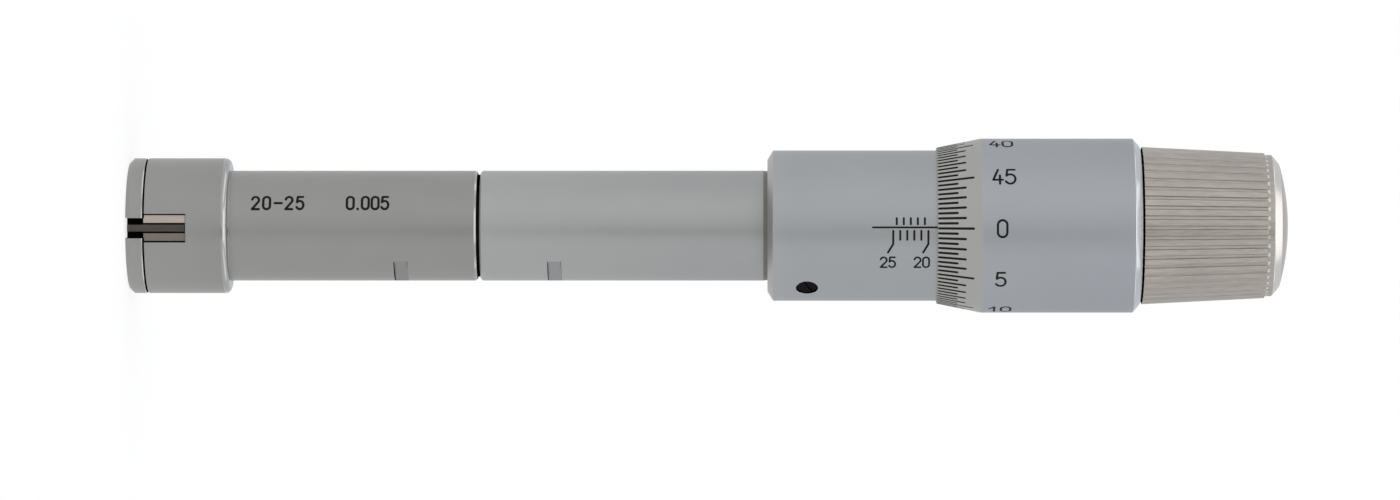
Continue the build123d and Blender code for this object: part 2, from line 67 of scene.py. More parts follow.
def ring_points(radius: ArrayLike, azimuth: ArrayLike, height: ArrayLike) -> np.ndarray:
    """Points at a radius, azimuth and height: x = r sin a, y = -r cos a, z = h.

    Args:
        radius: Radii in mm, of any shape or a single one.
        azimuth: Azimuths in radians, of a shape that goes with the radii.
        height: Heights in mm, of a shape that goes with the radii.

    Returns:
        The points in mm, with a last axis of 3.
    """
    radius, azimuth, height = np.broadcast_arrays(radius, azimuth, height)
    return np.stack([radius * np.sin(azimuth), -radius * np.cos(azimuth), height], axis=-1)


def softened(corners: Sequence[tuple[float, ...]], steps: int = 6) -> np.ndarray:
    """An outline whose corners are rounded: each corner gives way to the arc that touches both its sides.

    Args:
        corners: (radius, height) or (radius, height, rounding) of each corner, in order.
        steps: Segments in each arc.

    Returns:
        The outline's points as rows of (radius, height).
    """
    points = [np.array(corner[:2], float) for corner in corners]
    outline = []
    for index, corner in enumerate(corners):
        rounding = corner[2] if len(corner) > 2 else 0.0
        if rounding == 0.0:
            outline.append(points[index][None])
            continue
        here, before, after = points[index], points[index - 1], points[(index + 1) % len(points)]
        back = (before - here) / np.linalg.norm(before - here)
        ahead = (after - here) / np.linalg.norm(after - here)
        half = math.acos(float(np.clip(back @ ahead, -1, 1))) / 2
        centre = here + (back + ahead) / np.linalg.norm(back + ahead) * rounding / math.sin(half)
        start = here + back * rounding / math.tan(half) - centre
        end = here + ahead * rounding / math.tan(half) - centre
        turn = math.pi - 2 * half
        share = np.linspace(0, 1, steps + 1)[:, None]
        arc = (np.sin((1 - share) * turn) * start + np.sin(share * turn) * end) / math.sin(turn)
        outline.append(centre + arc)
    return np.concatenate(outline)


def stepped(steps: Sequence[tuple[float, float]], start: float) -> list[tuple[float, float]]:
    """Corners of a bore or a seat that changes its radius in steps.

    Args:
        steps: The radius of each step and the height to which it runs, in order.
        start: Height at which the first step begins.

    Returns:
        The corners as (radius, height).
    """
    corners = []
    for radius, height in steps:
        corners += [(radius, start), (radius, height)]
        start = height
    return corners


def grid_cells(rows: int, columns: int, wrap: bool) -> np.ndarray:
    """Corner numbers of a grid's cells: each cell lies between two rows and two columns.

    Args:
        rows: Rows of points.
        columns: Points in a row.
        wrap: Whether the last column joins the first.

    Returns:
        Rows - 1 by cells along a row by 4.
    """
    row, column = np.meshgrid(np.arange(rows - 1), np.arange(columns if wrap else columns - 1), indexing="ij")
    low, high, following = row * columns, (row + 1) * columns, (column + 1) % columns
    return np.stack([low + column, low + following, high + following, high + column], axis=-1)


class Shell:
    """A closed surface that is put together from grids of points and welded along their edges."""

    def __init__(self, name: str) -> None:
        """Start an empty shell.

        Args:
            name: Name of the piece.
        """
        self.name = name
        self.points: list[np.ndarray] = []
        self.faces: list[np.ndarray] = []
        self.coats: list[np.ndarray] = []
        self.count = 0

    def add(
        self, points: np.ndarray, wrap: bool = False, keep: Optional[np.ndarray] = None, coat: ArrayLike = 0
    ) -> None:
        """Add one grid.

        Args:
            points: Points in mm, rows by columns by 3.
            wrap: Whether the last column joins the first.
            keep: Which cells to keep: a row of them for all rows, or a whole table.
            coat: Which of the piece's finishes the grid has: one number, or one for each row of cells, or a
                whole table of cells.
        """
        rows, columns = points.shape[:2]
        cells = grid_cells(rows, columns, wrap)
        table = np.asarray(coat, np.int32)
        coats = np.broadcast_to(table[:, None] if table.ndim == 1 else table, cells.shape[:2])
        kept = np.ones(cells.shape[:2], bool) if keep is None else np.broadcast_to(keep, cells.shape[:2])
        self.points.append(points.reshape(-1, 3) * MM)
        self.faces.append(cells[kept] + self.count)
        self.coats.append(coats[kept])
        self.count += rows * columns

    def make(self, body: str, slot: str, finishes: Sequence["Finish"], *nodes: str) -> None:
        """Weld the grids, fill open ends, turn the faces outwards and dress the piece.

        Args:
            body: CAD body that the piece rides on.
            slot: The record's material slot; not used.
            finishes: The piece's finishes, in the order of its coats.
            nodes: CAD nodes that the piece stands for.
        """
        faces = np.concatenate(self.faces)
        mesh = bpy.data.meshes.new(self.name)
        mesh.vertices.add(self.count)
        mesh.vertices.foreach_set("co", np.concatenate(self.points).astype(np.float32).ravel())
        mesh.loops.add(faces.size)
        mesh.loops.foreach_set("vertex_index", faces.astype(np.int32).ravel())
        mesh.polygons.add(len(faces))
        mesh.polygons.foreach_set("loop_start", np.arange(0, faces.size, 4, dtype=np.int32))
        mesh.polygons.foreach_set("material_index", np.concatenate(self.coats))
        mesh.update(calc_edges=True)
        work = bmesh.new()
        work.from_mesh(mesh)
        bmesh.ops.remove_doubles(work, verts=work.verts, dist=WELD)
        bmesh.ops.dissolve_degenerate(work, dist=WELD, edges=work.edges)
        rims = [edge for edge in work.edges if len(edge.link_faces) == 1]
        bmesh.ops.holes_fill(work, edges=rims, sides=0)
        bmesh.ops.recalc_face_normals(work, faces=work.faces)
        open_edges = sum(1 for edge in work.edges if len(edge.link_faces) != 2)
        work.to_mesh(mesh)
        work.free()
        mesh.shade_smooth()
        mesh.set_sharp_from_angle(angle=SHARP)
        piece = bpy.data.objects.new(self.name, mesh)
        bpy.context.scene.collection.objects.link(piece)
        for finish in finishes:
            mesh.materials.append(finish.material())
        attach(piece, body)
        if nodes:
            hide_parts(*nodes)
        counts = (len(mesh.polygons), len(rims), open_edges)
        LOG.info("%s: %d faces, %d ends filled, %d open edges, on %s", self.name, *counts, body)


def even_azimuths(count: int, start: float = 0.0) -> np.ndarray:
    """Azimuths spread evenly over a full turn, in radians.

    Args:
        count: How many.
        start: The first azimuth, in degrees.

    Returns:
        The azimuths.
    """
    return math.radians(start) + np.arange(count) * 2 * math.pi / count


def turned(outline: np.ndarray, azimuths: np.ndarray) -> np.ndarray:
    """A surface of revolution: every point of the outline goes round the axis.

    Args:
        outline: Rows of (radius, height), in mm.
        azimuths: Azimuths of the columns, in radians.

    Returns:
        The grid of points.
    """
    return ring_points(outline[:, :1], azimuths[None], outline[:, 1:])


@dataclass(frozen=True)
class SpannerFlats:
    """A pair of flats across a round body: within them the radius is the smaller of r and d / cos(a - a0)."""

    height: float
    azimuth: float = 66.0
    width: float = 2.0
    depth: float = 0.75
    # Width of the band of painted shade at each end of the flats.
    shade: float = 0.07
    least_cut: float = 0.02

    def ends(self) -> tuple[float, float]:
        """Heights of the flats' two ends."""
        return self.height - self.width / 2, self.height + self.width / 2

    def rows(self, radius: float) -> list[tuple[float, float]]:
        """Outline corners at the flats' ends, each height twice, for the step down and up.

        Args:
            radius: Radius of the round body, in mm.

        Returns:
            The corners as (radius, height).
        """
        low, high = self.ends()
        return [(radius, z) for z in (low, low, low + self.shade, high - self.shade, high, high)]

    def cut(self, outline: np.ndarray, azimuths: np.ndarray, radius: float) -> np.ndarray:
        """Radii of a turned grid with the flats cut in.

        Args:
            outline: Rows of (radius, height), with the rows of this pair among them.
            azimuths: Azimuths of the grid, columns or rows by columns, in radians.
            radius: Radius of the round body, in mm.

        Returns:
            Radii, rows by columns.
        """
        radii = np.broadcast_to(outline[:, :1], (len(outline), azimuths.shape[-1])).copy()
        low, high = self.ends()
        at_low = np.flatnonzero(np.isclose(outline[:, 1], low))
        at_high = np.flatnonzero(np.isclose(outline[:, 1], high))
        inner = slice(at_low[1], at_high[0] + 1)
        angle = np.abs((azimuths - math.radians(self.azimuth) + math.pi / 2) % math.pi - math.pi / 2)
        chord = (radius - self.depth) / np.cos(angle)
        radii[inner] = np.minimum(radii[inner], np.broadcast_to(chord, radii.shape)[inner])
        return radii

    def coats(self, outline: np.ndarray, radii: np.ndarray, radius: float, coat: np.ndarray) -> np.ndarray:
        """Coats of a turned grid's cells, with 1 at the flats' ends, for painted shade at their steps, and 3 on their
        floors.

        Args:
            outline: Rows of (radius, height).
            radii: Radii with the flats cut in, rows by columns.
            radius: Radius of the round body, in mm.
            coat: Coat of each row of cells away from the flats.

        Returns:
            A table of coats, rows - 1 by columns.
        """
        sunk = radii < radius - self.least_cut
        within = (sunk[1:] | sunk[:-1]) & np.isclose(outline[1:, 0], radius)[:, None]
        within |= np.roll(within, -1, axis=1)
        middle = (outline[1:, 1] + outline[:-1, 1]) / 2
        away = np.abs(middle - self.height) - self.width / 2
        near, floor = away < 0.01, away < -self.shade
        return np.where(within & near[:, None], np.where(floor, 3, 1)[:, None], coat[:, None])


@dataclass(frozen=True)
class SlottedColumns:
    """Columns for a turned piece with three parallel-sided slots at 120 degrees.

    At radius r the side of a slot of half width w lies at asin(w / r) from the slot's azimuth. The columns
    of a slot are spread evenly between its sides, and the rest evenly between one slot and the next.
    """

    first: float
    across: int = 8
    between: int = 84
    slots: int = 3

    def azimuths(self, radius: np.ndarray, half_width: float) -> np.ndarray:
        """Azimuths of all the columns at each of some radii.

        Args:
            radius: Radii, one for each row, in mm.
            half_width: Half of a slot's width, in mm.

        Returns:
            Rows by columns, in radians.
        """
        side = np.arcsin(np.clip(half_width / np.maximum(radius, half_width * 1.02), 0, 1))[:, None]
        slot = np.linspace(-1, 1, self.across + 1)[None] * side
        land = side + np.linspace(0, 1, self.between + 1)[None, 1:-1] * (self.pitch - 2 * side)
        sector = np.concatenate([slot, land], axis=1)
        return np.concatenate([sector + self.slot_azimuth(number) for number in range(self.slots)], axis=1)

    def row(self, radius: float, half_width: float) -> np.ndarray:
        """Azimuths of the columns at one radius."""
        return self.azimuths(np.array([radius]), half_width)[0]

    @property
    def pitch(self) -> float:
        """Angle from one slot to the next, in radians."""
        return 2 * math.pi / self.slots

    def slot_azimuth(self, number: float) -> float:
        """Azimuth of a slot, counted from 0, in radians."""
        return math.radians(self.first) + number * self.pitch

    def in_slot(self) -> np.ndarray:
        """Which cells along a row lie in a slot."""
        sector = np.arange(self.across + self.between) < self.across
        return np.tile(sector, self.slots)


# ---------------------------------------------------------------- finishes


class Sheet:
    """A shader tree that nodes are laid out on."""

    def __init__(self, tree: bpy.types.NodeTree) -> None:
        """Work on a tree.

        Args:
            tree: The material's or the group's node tree.
        """
        self.tree = tree

    def node(self, kind: str, inputs: Optional[dict] = None, **settings: object) -> bpy.types.Node:
        """Add a node.

        Args:
            kind: The node's type name.
            inputs: Socket name or number to a value, or to an output socket that feeds it.
            settings: Properties of the node.

        Returns:
            The node.
        """
        node = self.tree.nodes.new(kind)
        for name, value in settings.items():
            setattr(node, name, value)
        for name, value in (inputs or {}).items():
            if isinstance(value, bpy.types.NodeSocket):
                self.tree.links.new(value, node.inputs[name])
            else:
                node.inputs[name].default_value = value
        return node

    def noise(self, scale: tuple[float, float, float], detail: float) -> bpy.types.NodeSocket:
        """Noise on Object coordinates, stretched by a scale for each axis.

        Args:
            scale: Features per metre along x, y and z.
            detail: Octaves.

        Returns:
            The noise's value, from 0 to 1.
        """
        place = self.node("ShaderNodeTexCoord").outputs["Object"]
        mapped = self.node("ShaderNodeMapping", {"Vector": place, "Scale": scale})
        noise = self.node("ShaderNodeTexNoise", {"Vector": mapped.outputs[0], "Scale": 1.0, "Detail": detail})
        return noise.outputs[0]

    def math(self, kind: str, *values: object) -> bpy.types.NodeSocket:
        """A Math node.

        Args:
            kind: Its operation.
            values: Numbers or sockets.

        Returns:
            Its output.
        """
        return self.node("ShaderNodeMath", dict(enumerate(values)), operation=kind).outputs[0]

    def join(self, node: bpy.types.Node, feeds: dict) -> None:
        """Link sockets to a node's inputs, each given by its name or number."""
        for name, socket in feeds.items():
            self.tree.links.new(socket, node.inputs[name])

    def group(
        self, name: str, values: dict[str, float], outputs: Sequence[str], fill: Callable[..., dict]
    ) -> bpy.types.NodeOutputs:
        """Place a shared group with values of its own.

        Args:
            name: The group's name.
            values: Input names and their values in this place.
            outputs: Output names.
            fill: Lays out the group where it isn't there yet.

        Returns:
            The outputs of the group's node.
        """
        return self.node("ShaderNodeGroup", values, node_tree=shared_group(name, values, outputs, fill)).outputs


def shared_group(
    name: str, inputs: dict[str, float], outputs: Sequence[str], fill: Callable[..., dict]
) -> bpy.types.NodeTree:
    """A shader node group with float inputs and outputs, built once.

    Args:
        name: The group's name.
        inputs: Input names and their values.
        outputs: Output names.
        fill: Lays out the nodes from (sheet, input sockets) and returns the socket for each output.

    Returns:
        The group.
    """
    if name in bpy.data.node_groups:
        return bpy.data.node_groups[name]
    tree = bpy.data.node_groups.new(name, "ShaderNodeTree")
    for label, value in inputs.items():
        tree.interface.new_socket(label, in_out="INPUT", socket_type="NodeSocketFloat").default_value = value
    for label in outputs:
        tree.interface.new_socket(label, in_out="OUTPUT", socket_type="NodeSocketFloat")
    sheet = Sheet(tree)
    entry, leave = sheet.node("NodeGroupInput"), sheet.node("NodeGroupOutput")
    sheet.join(leave, fill(sheet, entry.outputs))
    return tree


def shade_around(
    sheet: Sheet, pattern: bpy.types.NodeSocket, middle: float, amount: bpy.types.NodeSocket
) -> bpy.types.NodeSocket:
    """A shade that wavers around 1: 1 + amount (pattern - middle).

    Args:
        sheet: The group's sheet.
        pattern: The pattern.
        middle: The pattern's mean.
        amount: How much of it shows.

    Returns:
        The shade, by which a colour is multiplied.
    """
    return sheet.math("ADD", sheet.math("MULTIPLY", sheet.math("SUBTRACT", pattern, middle), amount), 1.0)


def satin_mottle(sheet: Sheet, given: bpy.types.NodeInputs) -> dict[str, bpy.types.NodeSocket]:
    """Faint clouds and fine grain of a satin finish: shade = 1 + amount (clouds + grain / 2 - 3 / 4).

    Args:
        sheet: The group's sheet.
        given: The group's inputs, Amount and Grain.

    Returns:
        Shade, Rough and Height.
    """
    clouds = sheet.noise((170.0, 170.0, 130.0), 2.0)
    grain = sheet.noise((5200.0, 5200.0, 5200.0), 2.0)
    mixed = sheet.math("ADD", clouds, sheet.math("MULTIPLY", grain, 0.5))
    shade = shade_around(sheet, mixed, 0.75, given["Amount"])
    rough = sheet.math("MULTIPLY", sheet.math("SUBTRACT", grain, 0.5), given["Grain"])
    return {"Shade": shade, "Rough": rough, "Height": grain}


def turning_lines(sheet: Sheet, given: bpy.types.NodeInputs) -> dict[str, bpy.types.NodeSocket]:
    """Fine rings that a lathe leaves: noise that changes fast along the axis and slowly around it.

    Args:
        sheet: The group's sheet.
        given: The group's inputs, Amount.

    Returns:
        Shade and Height.
    """
    fine = sheet.noise((45.0, 45.0, 9000.0), 1.0)
    broad = sheet.noise((30.0, 30.0, 1400.0), 2.0)
    height = sheet.math("ADD", sheet.math("MULTIPLY", fine, 0.6), sheet.math("MULTIPLY", broad, 0.4))
    return {"Shade": shade_around(sheet, height, 0.5, given["Amount"]), "Height": height}


def grinding_lines(sheet: Sheet, given: bpy.types.NodeInputs) -> dict[str, bpy.types.NodeSocket]:
    """Fine lines that a grinder leaves along the axis: noise that changes fast across it and slowly along it.

    Args:
        sheet: The group's sheet.
        given: The group's inputs, Amount.

    Returns:
        Shade and Height.
    """
    height = sheet.noise((5000.0, 5000.0, 420.0), 2.0)
    return {"Shade": shade_around(sheet, height, 0.5, given["Amount"]), "Height": height}


class Lay(Enum):
    """How a metal's surface was finished."""

    BLASTED = "fine satin grain"
    TURNED = "fine rings from the lathe"
    GROUND = "fine lines from the grinder, along the axis"


LAY_LINES = {Lay.TURNED: ("turning lines", turning_lines), Lay.GROUND: ("grinding lines", grinding_lines)}


@dataclass(frozen=True)
class Finish:
    """A finish whose colour and roughness waver over the surface."""

    name: str
    colour: tuple[float, float, float]
    roughness: float
    lay: Lay = Lay.BLASTED
    mottle: float = 0.05
    grain: float = 0.08

    def material(self) -> bpy.types.Material:
        """Build the material, or find it.

        Returns:
            A Principled material with the colour and the roughness on it.
        """
        if self.name in bpy.data.materials:
            return bpy.data.materials[self.name]
        material = bpy.data.materials.new(self.name)
        material.use_nodes = True
        sheet = Sheet(material.node_tree)
        values = {"Amount": self.mottle, "Grain": self.grain}
        satin = sheet.group("satin mottle", values, ("Shade", "Rough", "Height"), satin_mottle)
        shade, height = satin["Shade"], satin["Height"]
        if self.lay in LAY_LINES:
            name, fill = LAY_LINES[self.lay]
            lines = sheet.group(name, {"Amount": 3 * self.mottle}, ("Shade", "Height"), fill)
            shade, height = sheet.math("MULTIPLY", shade, lines["Shade"]), lines["Height"]
        colour = sheet.node("ShaderNodeVectorMath", {0: self.colour, "Scale": shade}, operation="SCALE")
        rough = sheet.math("ADD", satin["Rough"], self.roughness)
        shader = material.node_tree.nodes["Principled BSDF"]
        sheet.join(shader, {"Base Color": colour.outputs[0], "Roughness": rough})
        self.complete(sheet, shader, height)
        return material

    def complete(self, sheet: Sheet, shader: bpy.types.Node, height: bpy.types.NodeSocket) -> None:
        """Add what only this kind of finish has.

        Args:
            sheet: The material's sheet.
            shader: Its Principled shader.
            height: Height of the grain or the lines.
        """


@dataclass(frozen=True)
class MetalFinish(Finish):
    """A bare or plated metal with a satin, turned or ground surface."""

    relief: float = 0.0015
    edge: float = 0.9

    def complete(self, sheet: Sheet, shader: bpy.types.Node, height: bpy.types.NodeSocket) -> None:
        """Make the shader a metal with the relief on it.

        Args:
            sheet: The material's sheet.
            shader: Its Principled shader.
            height: Height of the grain or the lines.
        """
        bump = sheet.node("ShaderNodeBump", {"Height": height, "Strength": 0.35, "Distance": self.relief * MM})
        sheet.join(shader, {"Normal": bump.outputs[0]})
        shader.inputs["Metallic"].default_value = 1.0
        shader.inputs["Specular Tint"].default_value = (self.edge, self.edge, self.edge, 1.0)


@dataclass(frozen=True)
class InkFinish(Finish):
    """Black filling of engraved lines and numbers, a little uneven."""

    roughness: float = 0.62
    mottle: float = 0.6

    def complete(self, sheet: Sheet, shader: bpy.types.Node, height: bpy.types.NodeSocket) -> None:
        """Make the shader dull.

        Args:
            sheet: The material's sheet.
            shader: Its Principled shader.
            height: Height of the grain, which ink doesn't show.
        """
        shader.inputs["Specular IOR Level"].default_value = 0.15


HEAD_STEEL = MetalFinish("head steel", (0.314, 0.315, 0.306), 0.36, mottle=0.085)
FRONT_STEEL = MetalFinish("front cap steel", (0.325, 0.322, 0.312), 0.36, mottle=0.085)
MILLED_STEEL = MetalFinish("milled flat of the head", (0.245, 0.249, 0.247), 0.34, Lay.GROUND, mottle=0.05)
MILLED_CHROME = MetalFinish("milled flat of the barrel", (0.285, 0.295, 0.298), 0.34, Lay.GROUND, mottle=0.05)
# Painted shadow and painted highlight: a mid grey that darkens the barrel's band in front of the sleeve, where the
# sleeve's shadow and reflection fall, and lightens one wall of the set screw's black slot, where light catches it.
PAINTED_SHADOW_AND_GLINT = MetalFinish("painted shadow and glint grey", (0.238, 0.232, 0.218), 0.45, mottle=0.3)
# Partly painted highlight: turned edges are smoother than the satin beside them, which is real, and lighter, which
# paints the bright line that the light draws along them.
TURNED_EDGE_PAINTED_HIGHLIGHT = MetalFinish("turned edge, painted highlight", (0.43, 0.428, 0.425), 0.2, Lay.TURNED, mottle=0.03)
# Partly painted highlight: the thimble's rear bevel is smoother than its chrome, which is real, and much lighter,
# which paints the bright band that the light draws on it.
BEVEL_PAINTED_HIGHLIGHT = MetalFinish("bevel, painted highlight", (0.575, 0.60, 0.63), 0.2, Lay.TURNED, mottle=0.03)
BARREL_CHROME = MetalFinish("barrel chrome", (0.398, 0.402, 0.401), 0.38, mottle=0.07)
SLEEVE_CHROME = MetalFinish("sleeve chrome", (0.395, 0.407, 0.417), 0.40)
THIMBLE_CHROME = MetalFinish("thimble chrome", (0.397, 0.412, 0.439), 0.42)
SCALE_CHROME = MetalFinish("scale edge chrome", (0.379, 0.379, 0.366), 0.38)
KNOB_STEEL = MetalFinish("knob stainless", (0.462, 0.425, 0.391), 0.36, Lay.GROUND, mottle=0.17, relief=0.003)
# Partly painted highlight: the knob's back chamfer is polished, which is real, and much lighter than the knob, which
# paints the bright crescent on it.
KNOB_EDGE_PAINTED_HIGHLIGHT = MetalFinish("polished knob edge, painted highlight", (0.67, 0.64, 0.615), 0.24, Lay.TURNED, mottle=0.04)
# Painted glint: near white where each flute runs out, for the bright dot that the light leaves there.
FLUTE_END_PAINTED_GLINT = MetalFinish("flute run-out, painted glint", (0.76, 0.74, 0.71), 0.25, mottle=0.03)
CAP_STEEL = MetalFinish("end cap stainless", (0.448, 0.428, 0.407), 0.27, Lay.TURNED, mottle=0.05, relief=0.003)
JAW_STEEL = MetalFinish("ground jaw steel", (0.45, 0.398, 0.36), 0.3, Lay.GROUND, mottle=0.06)
# Painted shade: a darker copy of the jaw steel on each jaw's shoulder towards larger azimuth, the lower one on the
# jaw that faces the camera, which the light from above leaves darker.
JAW_PAINTED_SHADE = MetalFinish("ground jaw steel, painted shade", (0.213, 0.188, 0.163), 0.34, Lay.GROUND, mottle=0.06)
GROUND_STEEL = MetalFinish("ground steel", (0.40, 0.375, 0.35), 0.28, mottle=0.04)
CARBIDE = MetalFinish("ground carbide", (0.085, 0.078, 0.07), 0.3, Lay.GROUND, mottle=0.12)
SPRING_WIRE = MetalFinish("spring wire", (0.35, 0.35, 0.35), 0.25, mottle=0.04)
BLACK_OXIDE = MetalFinish("black oxide", (0.022, 0.022, 0.024), 0.38, mottle=0.4, edge=0.3)
# Near black for the dark joint lines between parts, and painted shade: it also darkens the windows, slots, pocket,
# hole, recesses and the steps of the flats, where shade falls.
JOINT_DARK_AND_PAINTED_SHADE = MetalFinish("dark joints and painted shade", (0.006, 0.006, 0.006), 0.6, mottle=0.3, edge=0.1)
BLACK_INK = InkFinish("engraving black", (0.006, 0.006, 0.006))

NODE_FINISHES: dict[str, MetalFinish] = {
    "head_steel": HEAD_STEEL,
    "satin_chrome": BARREL_CHROME,
    "stainless": KNOB_STEEL,
    "ground_steel": GROUND_STEEL,
    "carbide": CARBIDE,
    "spring_steel": SPRING_WIRE,
    "black_steel": BLACK_OXIDE,
}


def dress_cad_nodes() -> None:
    """Give every CAD node the finish of its slot in the record, on the object's material slots."""
    slots = {part["node"]: part["material_slot"] for part in frame["record"]["subparts"]}
    for name, piece in frame["nodes"].items():
        material = NODE_FINISHES[slots[name]].material()
        if not piece.material_slots:
            piece.data.materials.append(material)
        for place in piece.material_slots:
            place.material = material
    LOG.info("dressed %d CAD nodes", len(frame["nodes"]))


# ---------------------------------------------------------------- engraving


@dataclass(frozen=True)
class Pen:
    """A round-tipped engraving cutter that draws black lines on a turned surface.

    A line is a flat bar carried along its path. At a distance d < w / 2 from an end its half width is
    sqrt(d (w - d)), which rounds the end, and elsewhere w / 2. The bar follows the turned surface.
    """

    width: float
    radius_at: Callable[[np.ndarray], np.ndarray]
    turn_radius: float
    lift: float = 0.006
    sink: float = 0.02
    turn_step: float = 0.22
    least_step: float = 0.004

    def draw(self, shell: Shell, path: np.ndarray) -> None:
        """Add one line to a shell, with more sections where it runs round the surface.

        Args:
            shell: The shell that collects the lines.
            path: Points of the line as (arc length in mm towards larger azimuth, height in mm).
        """
        moves = np.diff(path, axis=0)
        along = np.concatenate([[0.0], np.cumsum(np.linalg.norm(moves, axis=1))])
        turned_by = np.concatenate([[0.0], np.cumsum(np.abs(moves[:, 0]))])
        length, half = along[-1], self.width / 2
        closed = bool(np.allclose(path[0], path[-1]))
        filling = np.interp(np.arange(0, turned_by[-1], self.turn_step), turned_by, along)
        tips = half * (1 - np.cos(np.linspace(0, math.pi / 2, 5)))
        ends = [] if closed else [tips - half, length + half - tips]
        places = np.sort(np.concatenate([along, filling] + ends))
        places = places[np.diff(places, append=np.inf) > self.least_step]
        direction = np.gradient(path, along, axis=0)
        inside = np.clip(places, 0, length)
        centre = np.stack([np.interp(inside, along, path[:, k]) for k in (0, 1)], axis=1)
        heading = np.stack([np.interp(inside, along, direction[:, k]) for k in (0, 1)], axis=1)
        heading /= np.linalg.norm(heading, axis=1)[:, None]
        centre = centre + heading * (places - inside)[:, None]
        to_end = np.minimum(places + half, length + half - places)
        depth = np.full(len(places), half) if closed else np.clip(to_end, 0, half)
        reach = np.sqrt(np.maximum(depth * (self.width - depth), 0))[:, None]
        side = np.stack([-heading[:, 1], heading[:, 0]], axis=1) * reach
        corners = np.stack([centre - side, centre - side, centre + side, centre + side], axis=1)
        layer = np.array([-self.sink, self.lift, self.lift, -self.sink])[None]
        height = corners[..., 1]
        bar = ring_points(self.radius_at(height) + layer, corners[..., 0] / self.turn_radius, height)
        shell.add(bar, wrap=True)


def level(radius: float) -> Callable[[np.ndarray], np.ndarray]:
    """Radius of a straight cylinder, as a function of the height."""
    return lambda height: np.full(height.shape, radius)


def arc(
    centre: tuple[float, float], radii: tuple[float, float], start: float, end: float, steps: int = 14
) -> np.ndarray:
    """Points of an elliptical arc, c + (a cos t, b sin t).

    Args:
        centre: Its centre.
        radii: Half axes a and b.
        start: First angle in degrees.
        end: Last angle in degrees.
        steps: Segments.

    Returns:
        The points.
    """
    angle = np.radians(np.linspace(start, end, steps + 1))
    return np.stack([centre[0] + radii[0] * np.cos(angle), centre[1] + radii[1] * np.sin(angle)], axis=1)


def line(*points: tuple[float, float]) -> np.ndarray:
    """A straight or bent line through some points."""
    return np.array(points, float)


@dataclass(frozen=True)
class Numerals:
    """Single-stroke numerals of an engraving machine, in a cell 1 high and `wide` wide."""

    wide: float = 0.56
    point_wide: float = 0.16

    def strokes(self, sign: str) -> list[np.ndarray]:
        """The strokes of one sign.

        Args:
            sign: A digit, a hyphen or a point.

        Returns:
            Paths of (right, up), in heights of the sign.
        """
        w = self.wide
        m = w / 2
        top, foot = arc((m, 1 - m), (m, m), 0, 180), arc((m, m), (m, m), 180, 360)
        bow = arc((m, 0.725), (m, 0.275), 168, -28)
        shapes = {
            "0": [np.concatenate([top, foot, line((w, 1 - m))])],
            "1": [line((0.1 * w, 0.68), (0.62 * w, 1.0)), line((0.62 * w, 1.0), (0.62 * w, 0.0))],
            "2": [np.concatenate([bow, line((0.0, 0.0))]), line((0.0, 0.0), (w, 0.0))],
            "3": [
                arc((0.48 * w, 0.76), (0.44 * w, 0.24), 150, -90),
                arc((0.48 * w, 0.26), (0.5 * w, 0.26), 90, -150),
            ],
            "4": [
                line((0.5 * w, 1.0), (0.0, 0.27)),
                line((0.0, 0.27), (w, 0.27)),
                line((0.7 * w, 0.58), (0.7 * w, 0.0)),
            ],
            "5": [
                line((0.92 * w, 1.0), (0.14 * w, 1.0)),
                line((0.14 * w, 1.0), (0.06 * w, 0.555)),
                arc((0.46 * w, 0.33), (0.54 * w, 0.33), 137, -150),
            ],
            "-": [line((0.02, 0.48), (w + 0.04, 0.48))],
            ".": [line((0.08, 0.0), (0.08, 0.03))],
        }
        return shapes[sign]

    def advance(self, sign: str, gap: float) -> float:
        """Width of a sign with the gap after it."""
        return (self.point_wide if sign == "." else self.wide) + gap

    def write(
        self, pen: Pen, shell: Shell, text: str, centre: tuple[float, float], height: float, gap: float
    ) -> None:
        """Write a number along the axis, upright for a reader who has +Z on the right and -X above.

        Args:
            pen: The pen.
            shell: The shell that collects the lines.
            text: The number.
            centre: Its middle as (arc length, height along the axis), in mm.
            height: Height of the signs, in mm.
            gap: Gap between the signs, in sign heights.
        """
        total = sum(self.advance(sign, gap) for sign in text) - gap
        right = -total / 2
        for sign in text:
            for stroke in self.strokes(sign):
                across = centre[1] + (right + stroke[:, 0]) * height
                down = centre[0] + (0.5 - stroke[:, 1]) * height
                pen.draw(shell, np.stack([down, across], axis=1))
            right += self.advance(sign, gap)


# ---------------------------------------------------------------- pieces


